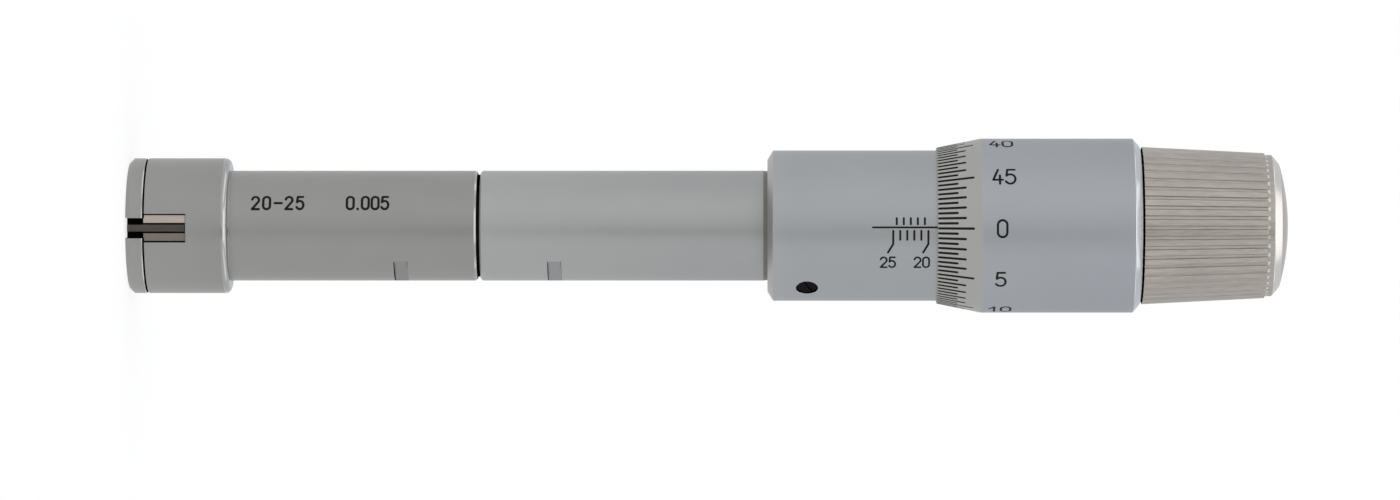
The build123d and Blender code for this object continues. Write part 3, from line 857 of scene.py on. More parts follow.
@dataclass(frozen=True)
class MeasuringHead:
    """Flange with three anvil windows, its neck, and the cap that closes its front."""

    first_slot: float = 2.4
    radius: float = 9.7
    cap: float = 2.7
    bevel: float = 0.03
    cap_end: float = 2.43
    cap_bevel: tuple[float, float] = (0.1, 0.15)
    joint: float = 9.25
    chamfer: float = 0.65
    flange_end: float = 14.5
    rounding: float = 0.8
    neck: float = 7.9
    end: float = 50.2
    neck_end: float = 49.96
    neck_bevel: tuple[float, float] = (0.22, 0.28)
    neck_joint: float = 7.35
    window_half: float = 2.04
    window_end: float = 8.6
    rim: float = 0.03
    pocket_roof: float = 8.2
    pocket_end: float = 11.7
    bore: float = 6.03
    bore_end: float = 28.0
    tail_steps: tuple[tuple[float, float], ...] = ((6.22, 42.2), (5.0, 31.0), (2.53, 28.0))
    slot_half: float = 1.45
    slot_floor: float = 5.9
    recess: float = 3.4
    recess_depth: float = 1.2
    screw_circle: float = 7.45
    screw_head: float = 1.47
    screw_hole: float = 0.82
    screw_sink: float = 0.65
    screw_depth: float = 2.5
    flats: SpannerFlats = SpannerFlats(39.1)
    stroke: float = 0.36
    numerals: Numerals = Numerals(0.5)
    number_turn: float = -24.1
    number_height: float = 1.92
    numbers: tuple[tuple[str, float, float], ...] = (("20-25", 21.66, 0.33), ("0.005", 34.5, 0.23))

    def columns(self) -> SlottedColumns:
        """Columns of the turned grids, set out by the three slots."""
        return SlottedColumns(self.first_slot)

    def body(self) -> None:
        """Flange and neck. The windows are cells left out of the turned grid, with walls carried inwards."""
        columns = self.columns()
        in_slot = columns.in_slot()
        shell = Shell("head_body_looks")
        open_half = self.window_half + self.rim
        window_rim = self.window_end + self.rim
        flange = [
            (self.radius - self.bevel, self.cap),
            (self.radius, self.cap + self.bevel),
            (self.radius, window_rim),
            (self.radius, window_rim + 0.2),
        ]
        back = [
            (self.radius, self.flange_end - 2),
            (self.radius, self.flange_end, self.rounding),
            (self.neck, self.flange_end),
        ]
        rear = softened(back, 12)[1:]
        tail = softened(
            [(self.neck, self.flange_end + 0.15)]
            + self.flats.rows(self.neck)
            + [
                (self.neck, self.neck_end - self.neck_bevel[1]),
                (self.neck - self.neck_bevel[0], self.neck_end),
                (self.neck_joint, self.neck_end),
                (self.neck_joint, self.end),
                (self.tail_steps[0][0], self.end),
            ]
        )
        outline = np.concatenate([np.array(flange), rear, tail])
        azimuths = columns.azimuths(outline[:, 0], open_half)
        radii = self.flats.cut(outline, azimuths, self.neck)
        keep = np.ones((len(outline) - 1, len(in_slot)), bool)
        keep[:2] = ~in_slot
        coat = np.zeros(len(outline) - 1, int)
        # Coat 2 paints a highlight on the flange's rear rounding and on the neck's end bevel; coat 1 is the dark
        # joint at the neck's end.
        coat[len(flange) : len(flange) + len(rear)] = 2
        coat[-4:] = (2, 1, 1, 0)
        coat = self.flats.coats(outline, radii, self.neck, coat)
        shell.add(ring_points(radii, azimuths, outline[:, 1:]), wrap=True, keep=keep, coat=coat)
        inner = stepped(self.tail_steps, self.end) + [(self.bore, self.bore_end)]
        shell.add(self._rows(columns, inner, [open_half] * len(inner)), wrap=True)
        self._windows(shell, columns, in_slot)
        shell.make("barrel_body", "head_steel", [HEAD_STEEL, JOINT_DARK_AND_PAINTED_SHADE, TURNED_EDGE_PAINTED_HIGHLIGHT, MILLED_STEEL], "head_body")

    def _rows(
        self, columns: SlottedColumns, corners: Sequence[tuple[float, float]], widths: Sequence[float]
    ) -> np.ndarray:
        """Turned rows at some corners, with the slot half as wide as given at each.

        Args:
            columns: Columns of the grid.
            corners: (radius, height) of each row.
            widths: Half width of the slot at each row.

        Returns:
            The grid of points.
        """
        rows = [ring_points(r, columns.row(r, width), z) for (r, z), width in zip(corners, widths)]
        return np.stack(rows)

    def _windows(self, shell: Shell, columns: SlottedColumns, in_slot: np.ndarray) -> None:
        """Bore, front face and window walls. A wall goes down one side of a window, across its end and back.

        Args:
            shell: The head's shell.
            columns: Columns of the turned grids.
            in_slot: Which cells lie in a window.
        """
        half, open_half = self.window_half, self.window_half + self.rim
        top, edge, lip = self.radius, self.radius - self.bevel, self.radius - self.rim
        low = self.cap + self.bevel
        bore = [(self.bore, z) for z in (self.bore_end, self.pocket_end, self.window_end, low, self.cap)]
        keep = np.ones((len(bore) - 1, len(in_slot)), bool)
        keep[1:] = ~in_slot
        # Painted shade: the bore is near black, where shade falls inside the head.
        shell.add(self._rows(columns, bore, [open_half] + [half] * 4), wrap=True, keep=keep, coat=1)
        face = [(radius, self.cap) for radius in (self.bore, self.pocket_roof, edge - self.rim, edge)]
        shell.add(self._rows(columns, face, [half] * 3 + [open_half]), wrap=True, keep=~in_slot)
        step = np.linspace(-1, 1, columns.across + 1)

        def wall(radii: Sequence[float], heights: Sequence[float], width: float, azimuth: float) -> np.ndarray:
            """One line round a window: down the near side, across the end and up the far side.

            Args:
                radii: Radius of each point down a side.
                heights: Height of each point down a side.
                width: Half width of the window at this line.
                azimuth: The window's azimuth, in radians.

            Returns:
                The line's points.
            """
            r = np.concatenate([radii, np.full(len(step) - 2, radii[-1]), radii[::-1]])
            z = np.concatenate([heights, np.full(len(step) - 2, heights[-1]), heights[::-1]])
            share = np.concatenate([np.full(len(radii), -1.0), step[1:-1], np.full(len(radii), 1.0)])
            return ring_points(r, azimuth + np.arcsin(width / r) * share, z)

        shallow = [self.cap, low, self.window_end]
        deep = shallow + [self.pocket_end]
        for index in range(columns.slots):
            azimuth = columns.slot_azimuth(index)
            outer = wall([edge, top, top], [self.cap, low, self.window_end + self.rim], open_half, azimuth)
            inner = wall([edge - self.rim, lip, lip], shallow, half, azimuth)
            roof = wall([self.pocket_roof] * 3, shallow, half, azimuth)
            shell.add(np.stack([outer, inner]))
            # Painted shade: the windows' inner walls, roof and pocket are near black, where shade falls.
            shell.add(np.stack([inner, roof]), coat=1)
            walls = [wall([radius] * 4, deep, half, azimuth) for radius in (self.pocket_roof, self.bore)]
            shell.add(np.stack(walls), coat=1)
            across = azimuth + math.asin(half / self.pocket_roof) * step
            ends = np.array([[self.window_end], [self.pocket_end]])
            shell.add(ring_points(self.pocket_roof, across[None], ends), coat=1)

    def front_cap(self) -> None:
        """Cap with three open slots and a countersunk hole between each pair of them."""
        columns = self.columns()
        in_slot = columns.in_slot()
        shell = Shell("front_cap_looks")
        half = self.slot_half
        hub = math.hypot(self.slot_floor, half)
        edge = softened(
            [
                (hub, 0.0),
                (self.radius - self.chamfer, 0.0, 0.08),
                (self.radius, self.chamfer, 0.12),
                (self.radius, self.cap_end - self.cap_bevel[1], 0.02),
                (self.radius - self.cap_bevel[0], self.cap_end),
                (self.joint, self.cap_end),
                (self.joint, self.cap),
                (hub, self.cap),
            ],
            4,
        )[1:-1]
        azimuths = columns.azimuths(edge[:, 0], half)
        coat = np.zeros(len(edge) - 1, int)
        # Coat 2 paints a highlight on the cap's rear bevel; coat 1 is the dark joint behind it.
        coat[-3:] = (2, 1, 1)
        shell.add(ring_points(edge[:, :1], azimuths, edge[:, 1:]), wrap=True, keep=~in_slot, coat=coat)
        hub_azimuths = columns.row(hub, half)
        from_slot = (hub_azimuths - columns.slot_azimuth(0) + columns.pitch / 2) % columns.pitch - columns.pitch / 2
        flat = np.abs(from_slot) <= math.asin(half / hub) + 1e-6
        hub_radius = np.where(flat, self.slot_floor / np.cos(from_slot), hub)

        def disc(share: float, height: float) -> np.ndarray:
            """The hub's outline at a height, drawn in towards the axis by a share."""
            return ring_points(hub_radius * share, hub_azimuths, height)

        def ring(radius: float, height: float) -> np.ndarray:
            """A circle in the hub's columns."""
            return ring_points(radius, hub_azimuths, height)

        floor = self.cap - self.recess_depth
        shell.add(np.stack([disc(1.0, 0.0), disc(0.6, 0.0), disc(0.0, 0.0)]), wrap=True)
        recess = [ring(self.recess, self.cap), ring(self.recess, floor), ring(0.0, floor)]
        shell.add(np.stack([disc(1.0, self.cap)] + recess), wrap=True)
        # Painted shade: the floors of the three slots and, below, their side walls are near black, where shade falls
        # in them.
        shell.add(np.stack([disc(1.0, height) for height in edge[:, 1]]), wrap=True, keep=in_slot, coat=1)
        back = ring_points(edge[-1, 0], azimuths[-1], self.cap)
        shell.add(np.stack([back, disc(1.0, self.cap)]), wrap=True, keep=~in_slot)
        for index in range(columns.slots):
            azimuth = columns.slot_azimuth(index)
            for side in (-1.0, 1.0):
                outer = ring_points(edge[:, 0], azimuth + side * np.arcsin(half / edge[:, 0]), edge[:, 1])
                inner = ring_points(hub, azimuth + side * math.asin(half / hub), edge[:, 1])
                shell.add(np.stack([outer, inner]), coat=1)
            self._screw_hole(shell, columns, index, float(edge[0, 0]), hub)
        shell.make("barrel_body", "head_steel", [FRONT_STEEL, JOINT_DARK_AND_PAINTED_SHADE, TURNED_EDGE_PAINTED_HIGHLIGHT], "front_cap")

    def _screw_hole(self, shell: Shell, columns: SlottedColumns, index: int, outer: float, hub: float) -> None:
        """Front face between two slots, with a countersunk hole: straight lines run from its rim to the face's edge.

        Args:
            shell: The cap's shell.
            columns: Columns of the turned grids.
            index: Number of the slot before the hole.
            outer: Radius at which the face meets the chamfer.
            hub: Radius at which it meets the hub.
        """
        size = columns.across + columns.between
        pick = (np.arange(columns.across, size + 1) + index * size) % (size * columns.slots)
        arcs = [ring_points(r, columns.row(r, self.slot_half)[pick], 0.0) for r in (outer, hub)]
        loop = np.concatenate([arcs[0], arcs[1][::-1]])
        middle = ring_points(self.screw_circle, columns.slot_azimuth(index + 0.5), 0.0)
        angle = np.unwrap(np.arctan2(loop[:, 1] - middle[1], loop[:, 0] - middle[0]))
        sense = np.sign(angle[-1] - angle[0])
        angle = np.maximum.accumulate(angle * sense) * sense
        circle = np.stack([np.cos(angle), np.sin(angle), np.zeros(len(angle))], axis=1)
        steps = (
            (self.screw_head + 0.04, 0.0),
            (self.screw_head, 0.03),
            (self.screw_hole, self.screw_sink),
            (self.screw_hole, self.screw_depth),
            (0.0, self.screw_depth),
        )
        rings = [middle + circle * radius + np.array([0.0, 0.0, depth]) for radius, depth in steps]
        shell.add(np.stack([loop] + rings), wrap=True)

    def engraving(self) -> None:
        """Range and graduation on the neck, as plain numbers."""
        pen = Pen(self.stroke, level(self.neck), self.neck)
        shell = Shell("neck_numbers")
        down = math.radians(self.number_turn) * self.neck
        for number, height, gap in self.numbers:
            self.numerals.write(pen, shell, number, (down, height), self.number_height, gap)
        shell.make("barrel_body", "black_steel", [BLACK_INK])


@dataclass(frozen=True)
class Anvil:
    """Jaw that slides out of a window, with its nose in the cap's slot and a hard strip along it.

    At a distance y from its middle the jaw's outer radius is R - s (y - g), where g is half the groove's width.
    Across the strip it is R - y^2 / (2 c).
    """

    number: int
    azimuth: float
    half: float = 1.87
    start: float = 2.6
    end: float = 8.55
    inner: float = 1.3
    crown: float = 9.12
    slope: float = 0.12
    crown_radius: float = 2.2
    edge: float = 0.04
    nose_floor: float = 6.35
    nose_start: float = 0.27
    groove: float = 8.35
    groove_half: float = 0.73
    groove_edge: tuple[float, float] = (0.08, 0.06)
    side_drop: float = 0.05
    foot: float = 3.85
    foot_end: float = 11.4
    wedge: tuple[float, float] = (2.73, 8.56)
    strip_half: float = 0.56
    strip_top: float = 9.25
    strip_edge: float = 0.09
    strip_end: float = 0.08

    def _placed(self, out: ArrayLike, side: np.ndarray, height: ArrayLike) -> np.ndarray:
        """Points of the anvil, turned to its azimuth.

        Args:
            out: Distances outwards, in mm.
            side: Distances sideways, in mm.
            height: Heights, in mm.

        Returns:
            The points.
        """
        turn = math.radians(self.azimuth)
        x = out * math.sin(turn) + side * math.cos(turn)
        y = -out * math.cos(turn) + side * math.sin(turn)
        return np.stack(np.broadcast_arrays(x, y, height), axis=-1)

    def jaw(self) -> None:
        """The jaw: one outline in (radius, height) for each distance from its middle."""
        shoulder = np.linspace(self.groove_half + self.groove_edge[0], self.half - self.edge, 7)
        beside = np.concatenate([[self.groove_half], shoulder, [self.half]])
        outer = self.crown - self.slope * (beside - self.groove_half)
        outer[0] -= self.groove_edge[1]
        outer[-1] -= self.side_drop
        side = np.concatenate([-beside[::-1], [-self.groove_half, self.groove_half], beside])
        rise = np.concatenate([outer[::-1], [self.groove, self.groove], outer])
        front = np.full(len(side), self.start)
        front[len(beside) : len(beside) + 2] = self.nose_start
        rows = [
            (self.inner, self.start),
            (self.nose_floor, self.start),
            (self.nose_floor, front),
            (rise, front),
            (rise, self.end - self.edge),
            (rise - self.edge, self.end),
            (self.foot, self.end),
            (self.foot, self.foot_end),
            (self.wedge[0], self.foot_end),
            (self.inner, self.wedge[1]),
            (self.inner, self.start),
        ]
        shell = Shell(f"anvil_{self.number}_looks")
        coat = np.zeros((len(rows) - 1, len(side) - 1), int)
        # Painted shade: coat 1 makes the groove beside the strip near black, and coat 2 is a darker copy of the steel
        # on the shoulder towards larger azimuth.
        coat[2:5, len(beside) - 1 : len(beside) + 2] = 1
        coat[2:5, len(beside) + 2 :] = 2
        shell.add(np.stack([self._placed(r, side, z) for r, z in rows]), coat=coat)
        finishes = [JAW_STEEL, JOINT_DARK_AND_PAINTED_SHADE, JAW_PAINTED_SHADE]
        shell.make(f"anvil_body_{self.number}", "ground_steel", finishes, f"anvil_{self.number}")

    def strip(self) -> None:
        """The hard strip: its crowned section carried along the jaw, smaller by a bevel at its two ends."""
        across = np.linspace(-1, 1, 13)
        reach = self.strip_half - self.strip_edge
        top = self.strip_top - (across * reach) ** 2 / (2 * self.crown_radius)
        half, low, bevel = self.strip_half, self.nose_start, self.strip_end
        side = np.concatenate([[-half, -half], across * reach, [half, half]])
        shoulder = top[0] - self.strip_edge
        rise = np.concatenate([[self.groove, shoulder], top, [shoulder, self.groove]])
        rows = []
        for height, inset in ((low, bevel), (low + bevel, 0.0), (self.end - bevel, 0.0), (self.end, bevel)):
            rows.append(self._placed(np.maximum(rise - inset, self.groove), side * (1 - inset / half), height))
        shell = Shell(f"carbide_strip_{self.number}_looks")
        shell.add(np.stack(rows), wrap=True)
        shell.make(f"anvil_body_{self.number}", "carbide", [CARBIDE], f"carbide_strip_{self.number}")


@dataclass(frozen=True)
class Barrel:
    """Long tube behind the neck, with its own pair of spanner flats."""

    radius: float = 7.9
    start: float = 50.22
    joint: float = 7.35
    joint_end: float = 50.42
    bevel: float = 0.28
    # Painted shadow: a shallow band in front of the sleeve, painted darker, where the sleeve's shadow and reflection
    # fall on the barrel.
    shaded: tuple[float, float] = (91.0, 91.7)
    shaded_depth: float = 0.05
    end: float = 128.0
    first_column: float = 66.0
    bore_steps: tuple[tuple[float, float], ...] = (
        (6.0, 106.0),
        (5.2, 77.52),
        (5.0, 61.52),
        (4.3, 42.6),
        (6.2, 50.22),
    )
    flats: SpannerFlats = SpannerFlats(61.1)

    def build(self) -> None:
        """The tube: outside with its flats, then back along the bore to the spigot."""
        azimuths = even_azimuths(360, self.first_column)
        outside = softened(
            [
                (self.bore_steps[-1][0], self.start),
                (self.joint, self.start),
                (self.joint, self.joint_end),
                (self.radius - self.bevel, self.joint_end),
                (self.radius, self.joint_end + self.bevel, 0.05),
            ]
            + self.flats.rows(self.radius)
            + [
                (self.radius, self.shaded[0]),
                (self.radius - self.shaded_depth, self.shaded[0] + 0.3),
                (self.radius - self.shaded_depth, self.shaded[1]),
                (self.radius, self.shaded[1]),
                (self.radius, self.end),
            ]
        )
        inside = np.array([(self.radius, self.end)] + stepped(self.bore_steps, self.end))
        shell = Shell("barrel_looks")
        radii = self.flats.cut(outside, azimuths, self.radius)
        coat = np.zeros(len(outside) - 1, int)
        coat[:3] = 1
        # Painted shadow on the band in front of the sleeve.
        coat[-4:-1] = 2
        coat = self.flats.coats(outside, radii, self.radius, coat)
        shell.add(ring_points(radii, azimuths[None], outside[:, 1:]), wrap=True, coat=coat)
        shell.add(turned(inside, azimuths), wrap=True)
        shell.make("barrel_body", "satin_chrome", [BARREL_CHROME, JOINT_DARK_AND_PAINTED_SHADE, PAINTED_SHADOW_AND_GLINT, MILLED_CHROME], "barrel")


@dataclass(frozen=True)
class Sleeve:
    """Sleeve with the main scale and the hole for its set screw."""

    radius: float = 10.8
    inner: float = 7.92
    start: float = 91.6
    end: float = 127.0
    nose_rise: float = 0.8
    nose_depth: float = 1.35
    grip_end: float = 108.0
    wall: float = 1.0
    screw_height: float = 97.25
    screw_azimuth: float = 56.4
    hole: float = 1.58
    rim: float = 0.05
    hole_floor: float = 8.05
    patch_half: float = 2.4
    screw_radius: float = 1.5
    screw_bevel: float = 0.05
    screw_span: tuple[float, float] = (8.1, 10.5)
    slot_half: float = 0.2
    slot_depth: float = 0.3
    slot_lip: float = 0.03
    slot_turn: float = 29.0
    index_turn: float = 1.55
    index_span: tuple[float, float] = (106.62, 119.0)
    zero_height: float = 114.5
    stroke: float = 0.3
    fine_stroke: float = 0.27
    half_mark: tuple[float, float] = (-1.02, -0.16)
    full_mark: tuple[float, float] = (0.8, 2.06)
    long_mark: tuple[float, float] = (0.8, 2.68)
    long_mark_bend: tuple[float, float] = (3.95, -0.74)
    numerals: Numerals = Numerals(0.54)
    numbers: tuple[tuple[str, float], ...] = (("25", 108.76), ("20", 113.58))
    number_down: float = 5.5
    number_height: float = 1.62
    number_gap: float = 0.21

    def build(self) -> None:
        """The sleeve, with a square patch round the hole whose lines run from the hole's rim to the patch's edge.

        The columns stand a degree apart. The patch reaches some columns to each side of the hole and has some
        cells along the axis.
        """
        columns, reach, cells = 360, 13, 16
        azimuths = even_azimuths(columns, self.screw_azimuth)
        low, high = self.screw_height - self.patch_half, self.screw_height + self.patch_half
        nose = softened(
            [
                (self.inner, self.start),
                (self.radius - self.nose_depth, self.start, 0.08),
                (self.radius, self.start + self.nose_rise, 0.15),
                (self.radius, self.start + 2.0),
            ]
        )[:-1]
        heights = np.linspace(low, high, cells + 1)
        patch = np.stack([np.full(cells + 1, self.radius), heights], axis=1)
        bore = stepped([(self.radius - self.wall, self.grip_end), (self.inner, self.start)], self.end)
        back = np.array([(self.radius, self.end)] + bore)
        outline = np.concatenate([nose, patch, back])
        keep = np.ones((len(outline) - 1, columns), bool)
        beside = np.r_[0:reach, columns - reach : columns]
        keep[len(nose) : len(nose) + cells, beside] = False
        shell = Shell("sleeve_looks")
        coat = np.zeros(len(outline) - 1, int)
        coat[: len(nose) - 1] = 2
        shell.add(turned(outline, azimuths), wrap=True, keep=keep, coat=coat)
        turn = np.radians(np.arange(-reach, reach + 1))
        loop = np.concatenate(
            [
                np.stack([turn, np.full(len(turn), low)], axis=1),
                np.stack([np.full(cells - 1, turn[-1]), heights[1:-1]], axis=1),
                np.stack([turn[::-1], np.full(len(turn), high)], axis=1),
                np.stack([np.full(cells - 1, turn[0]), heights[-2:0:-1]], axis=1),
            ]
        )
        side = np.stack([self.radius * np.sin(loop[:, 0]), loop[:, 1] - self.screw_height], axis=1)
        angle = np.arctan2(side[:, 1], side[:, 0])
        circle = np.stack([np.cos(angle), np.sin(angle)], axis=1)
        wide = circle * (self.hole + self.rim)
        rings = [self._wrapped(side * (1 - s) + wide * s, 0.0) for s in (0.0, 0.35, 0.7, 1.0)]
        lip = self._wrapped(circle * self.hole, self.rim)
        floor = self._placed(self.hole_floor, circle * self.hole)
        centre = self._placed(self.hole_floor, circle * 0)
        shell.add(np.stack(rings + [lip]), wrap=True)
        # Painted shade: the hole's wall and floor are near black, where shade falls round the set screw.
        shell.add(np.stack([lip, floor, centre]), wrap=True, coat=1)
        shell.make("barrel_body", "satin_chrome", [SLEEVE_CHROME, JOINT_DARK_AND_PAINTED_SHADE, SCALE_CHROME], "sleeve")

    def set_screw(self) -> None:
        """Slotted grub screw: at a distance s from the slot's middle its face reaches t sqrt(r^2 - s^2), |t| <= 1."""
        low, high = self.screw_span
        inner = self.screw_radius - self.screw_bevel
        half = self.slot_half
        land = inner * np.cos(np.linspace(0.0, math.acos((half + self.slot_lip) / inner), 12))
        across = np.concatenate([-land, [-half, 0.0, half], land[::-1]])
        out = np.where(np.abs(across) > half + self.slot_lip / 2, high, high - self.slot_depth)[:, None]
        along = np.sqrt(inner**2 - across**2)[:, None] * np.linspace(-1.0, 1.0, 13)
        turn = math.radians(self.slot_turn)
        right = along * math.cos(turn) - across[:, None] * math.sin(turn)
        up = along * math.sin(turn) + across[:, None] * math.cos(turn)
        coat = np.zeros(len(across) - 1, int)
        # Coat 1 paints a highlight on one wall of the slot; coat 2 paints shade on the slot's floor.
        coat[len(land) - 1] = 1
        coat[len(land) : len(land) + 2] = 2
        shell = Shell("sleeve_set_screw_looks")
        shell.add(self._placed(out, np.stack([right, up], axis=-1)), coat=coat)
        face = np.stack([np.broadcast_to(out, along.shape), right, up], axis=-1)
        loop = np.concatenate([face[:, 0], face[-2:0:-1, -1]])
        rim, wide = loop[:, 1:], loop[:, 1:] * self.screw_radius / inner
        rings = [(loop[:, 0], rim), (loop[:, 0] - self.screw_bevel, wide), (low, wide), (low, wide * 0)]
        shell.add(np.stack([self._placed(*ring) for ring in rings]), wrap=True)
        finishes = [BLACK_OXIDE, PAINTED_SHADOW_AND_GLINT, JOINT_DARK_AND_PAINTED_SHADE]
        shell.make("barrel_body", "black_steel", finishes, "sleeve_set_screw")

    def _wrapped(self, side: np.ndarray, sink: float) -> np.ndarray:
        """Points seen along the hole's axis, laid on the sleeve: out = sqrt(r^2 - y^2) - sink.

        Args:
            side: Rows of (sideways, up), from the hole's axis.
            sink: Depth below the surface.

        Returns:
            The points.
        """
        return self._placed(np.sqrt(self.radius**2 - side[:, 0] ** 2) - sink, side)

    def _placed(self, out: ArrayLike, side: np.ndarray) -> np.ndarray:
        """Points at the set screw, in the instrument's frame.

        Args:
            out: Distances from the instrument's axis along the screw's.
            side: Distances sideways and up, on the last axis.

        Returns:
            The points.
        """
        turn = math.radians(self.screw_azimuth)
        x = out * math.sin(turn) + side[..., 0] * math.cos(turn)
        y = side[..., 0] * math.sin(turn) - out * math.cos(turn)
        return np.stack([x, y, side[..., 1] + self.screw_height], axis=-1)

    def scale(self) -> None:
        """Index line, half-millimetre marks above it, millimetre marks below it, and the two numbers."""
        shell = Shell("sleeve_scale")
        around = level(self.radius)
        marks, fine = (Pen(width, around, self.radius) for width in (self.stroke, self.fine_stroke))
        zero = math.radians(self.index_turn) * self.radius
        fine.draw(shell, line((zero, self.index_span[0]), (zero, self.index_span[1])))
        for half in range(5):
            height = self.zero_height - 0.5 - half
            marks.draw(shell, line(*((down, height) for down in self.half_mark)))
        for full in range(6):
            height = self.zero_height - full
            numbered = full in (0, 5)
            mark = self.long_mark if numbered else self.full_mark
            marks.draw(shell, line(*((down, height) for down in mark)))
            if numbered:
                bend = (self.long_mark_bend[0], height + self.long_mark_bend[1])
                marks.draw(shell, line((mark[1], height), bend))
        for number, height in self.numbers:
            place = (self.number_down, height)
            self.numerals.write(fine, shell, number, place, self.number_height, self.number_gap)
        shell.make("barrel_body", "black_steel", [BLACK_INK])


@dataclass(frozen=True)
class Thimble:
    """Thimble with its bevelled scale edge."""

    edge: float = 115.85
    edge_radius: float = 11.2
    bore: float = 10.95
    cone_end: float = 122.2
    radius: float = 12.5
    end: float = 145.0
    bevel_depth: float = 1.14
    bevel_rise: float = 0.98
    wall_start: float = 136.0
    recess_start: float = 140.9
    recess: float = 7.5
    taper: tuple[float, float] = (3.22, 3.8)
    divisions: int = 100
    zero_turn: float = 2.2
    mark_start: float = 116.05
    mark_ends: tuple[float, float, float] = (120.9, 119.77, 118.62)
    stroke: float = 0.37
    number_stroke: float = 0.33
    numerals: Numerals = Numerals(0.56)
    number_height: float = 124.95
    number_size: float = 2.4
    number_gap: float = 0.19
    number_every: int = 10
    number_step: int = 5
    number_shifts: tuple[float, ...] = (0.05, -0.11, -0.15, 0.0, 0.0, 0.0, 0.0, 0.0, 0.07, 0.36)

    def build(self) -> None:
        """The thimble, turned from its outline."""
        outline = softened(
            [
                (self.bore, self.edge),
                (self.edge_radius, self.edge, 0.04),
                (self.radius, self.cone_end, 1.2),
                (self.radius, self.end - self.bevel_rise, 0.25),
                (self.radius - self.bevel_depth, self.end, 0.03),
                (self.recess, self.end),
                (self.recess, self.recess_start),
                (self.taper[0], self.recess_start),
                (self.taper[1], self.wall_start),
                (self.bore, self.wall_start),
                (self.bore, self.edge),
            ]
        )
        azimuths = even_azimuths(400)
        radius, height = ((outline[1:] + outline[:-1]) / 2).T
        bevel_start = self.end - self.bevel_rise - 0.04
        # Coat 2 paints a highlight on the rear bevel; coat 3 is the dark joint on the rear face and the recess
        # towards the knob.
        coat = np.where(height < self.cone_end, 1, np.where(height < bevel_start, 0, 2))
        coat = np.where(radius < self.radius - self.bevel_depth - 0.05, 3, coat)
        coat = np.where((radius > self.bore) & (height < self.wall_start), np.minimum(coat, 1), coat)
        shell = Shell("thimble_looks")
        shell.add(turned(outline, azimuths), wrap=True, coat=coat)
        shell.make("thimble_body", "satin_chrome", [THIMBLE_CHROME, SCALE_CHROME, BEVEL_PAINTED_HIGHLIGHT, JOINT_DARK_AND_PAINTED_SHADE], "thimble")

    def cone(self, height: np.ndarray) -> np.ndarray:
        """Radius of the outside at some heights: a straight rise over the cone, then level."""
        share = np.clip((height - self.edge) / (self.cone_end - self.edge), 0, 1)
        return self.edge_radius + (self.radius - self.edge_radius) * share

    def scale(self) -> None:
        """Marks on the cone in three lengths, and a number at every tenth, each shifted as the engraver left it."""
        shell = Shell("thimble_scale")
        pen = Pen(self.stroke, self.cone, self.radius)
        pitch = 2 * math.pi / self.divisions * self.radius
        zero = math.radians(self.zero_turn) * self.radius
        tenth, second, single = self.mark_ends
        for mark in range(self.divisions):
            last = tenth if mark % self.number_every == 0 else second if mark % 2 == 0 else single
            down = zero + mark * pitch
            pen.draw(shell, line((down, self.mark_start), (down, last)))
        shell.make("thimble_body", "black_steel", [BLACK_INK])
        numbers = Shell("thimble_numbers")
        pen = Pen(self.number_stroke, self.cone, self.radius)
        for index, shift in enumerate(self.number_shifts):
            place = (zero + self.number_every * index * pitch, self.number_height + shift)
            number = str(self.number_step * index)
            self.numerals.write(pen, numbers, number, place, self.number_size, self.number_gap)
        numbers.make("thimble_body", "black_steel", [BLACK_INK])


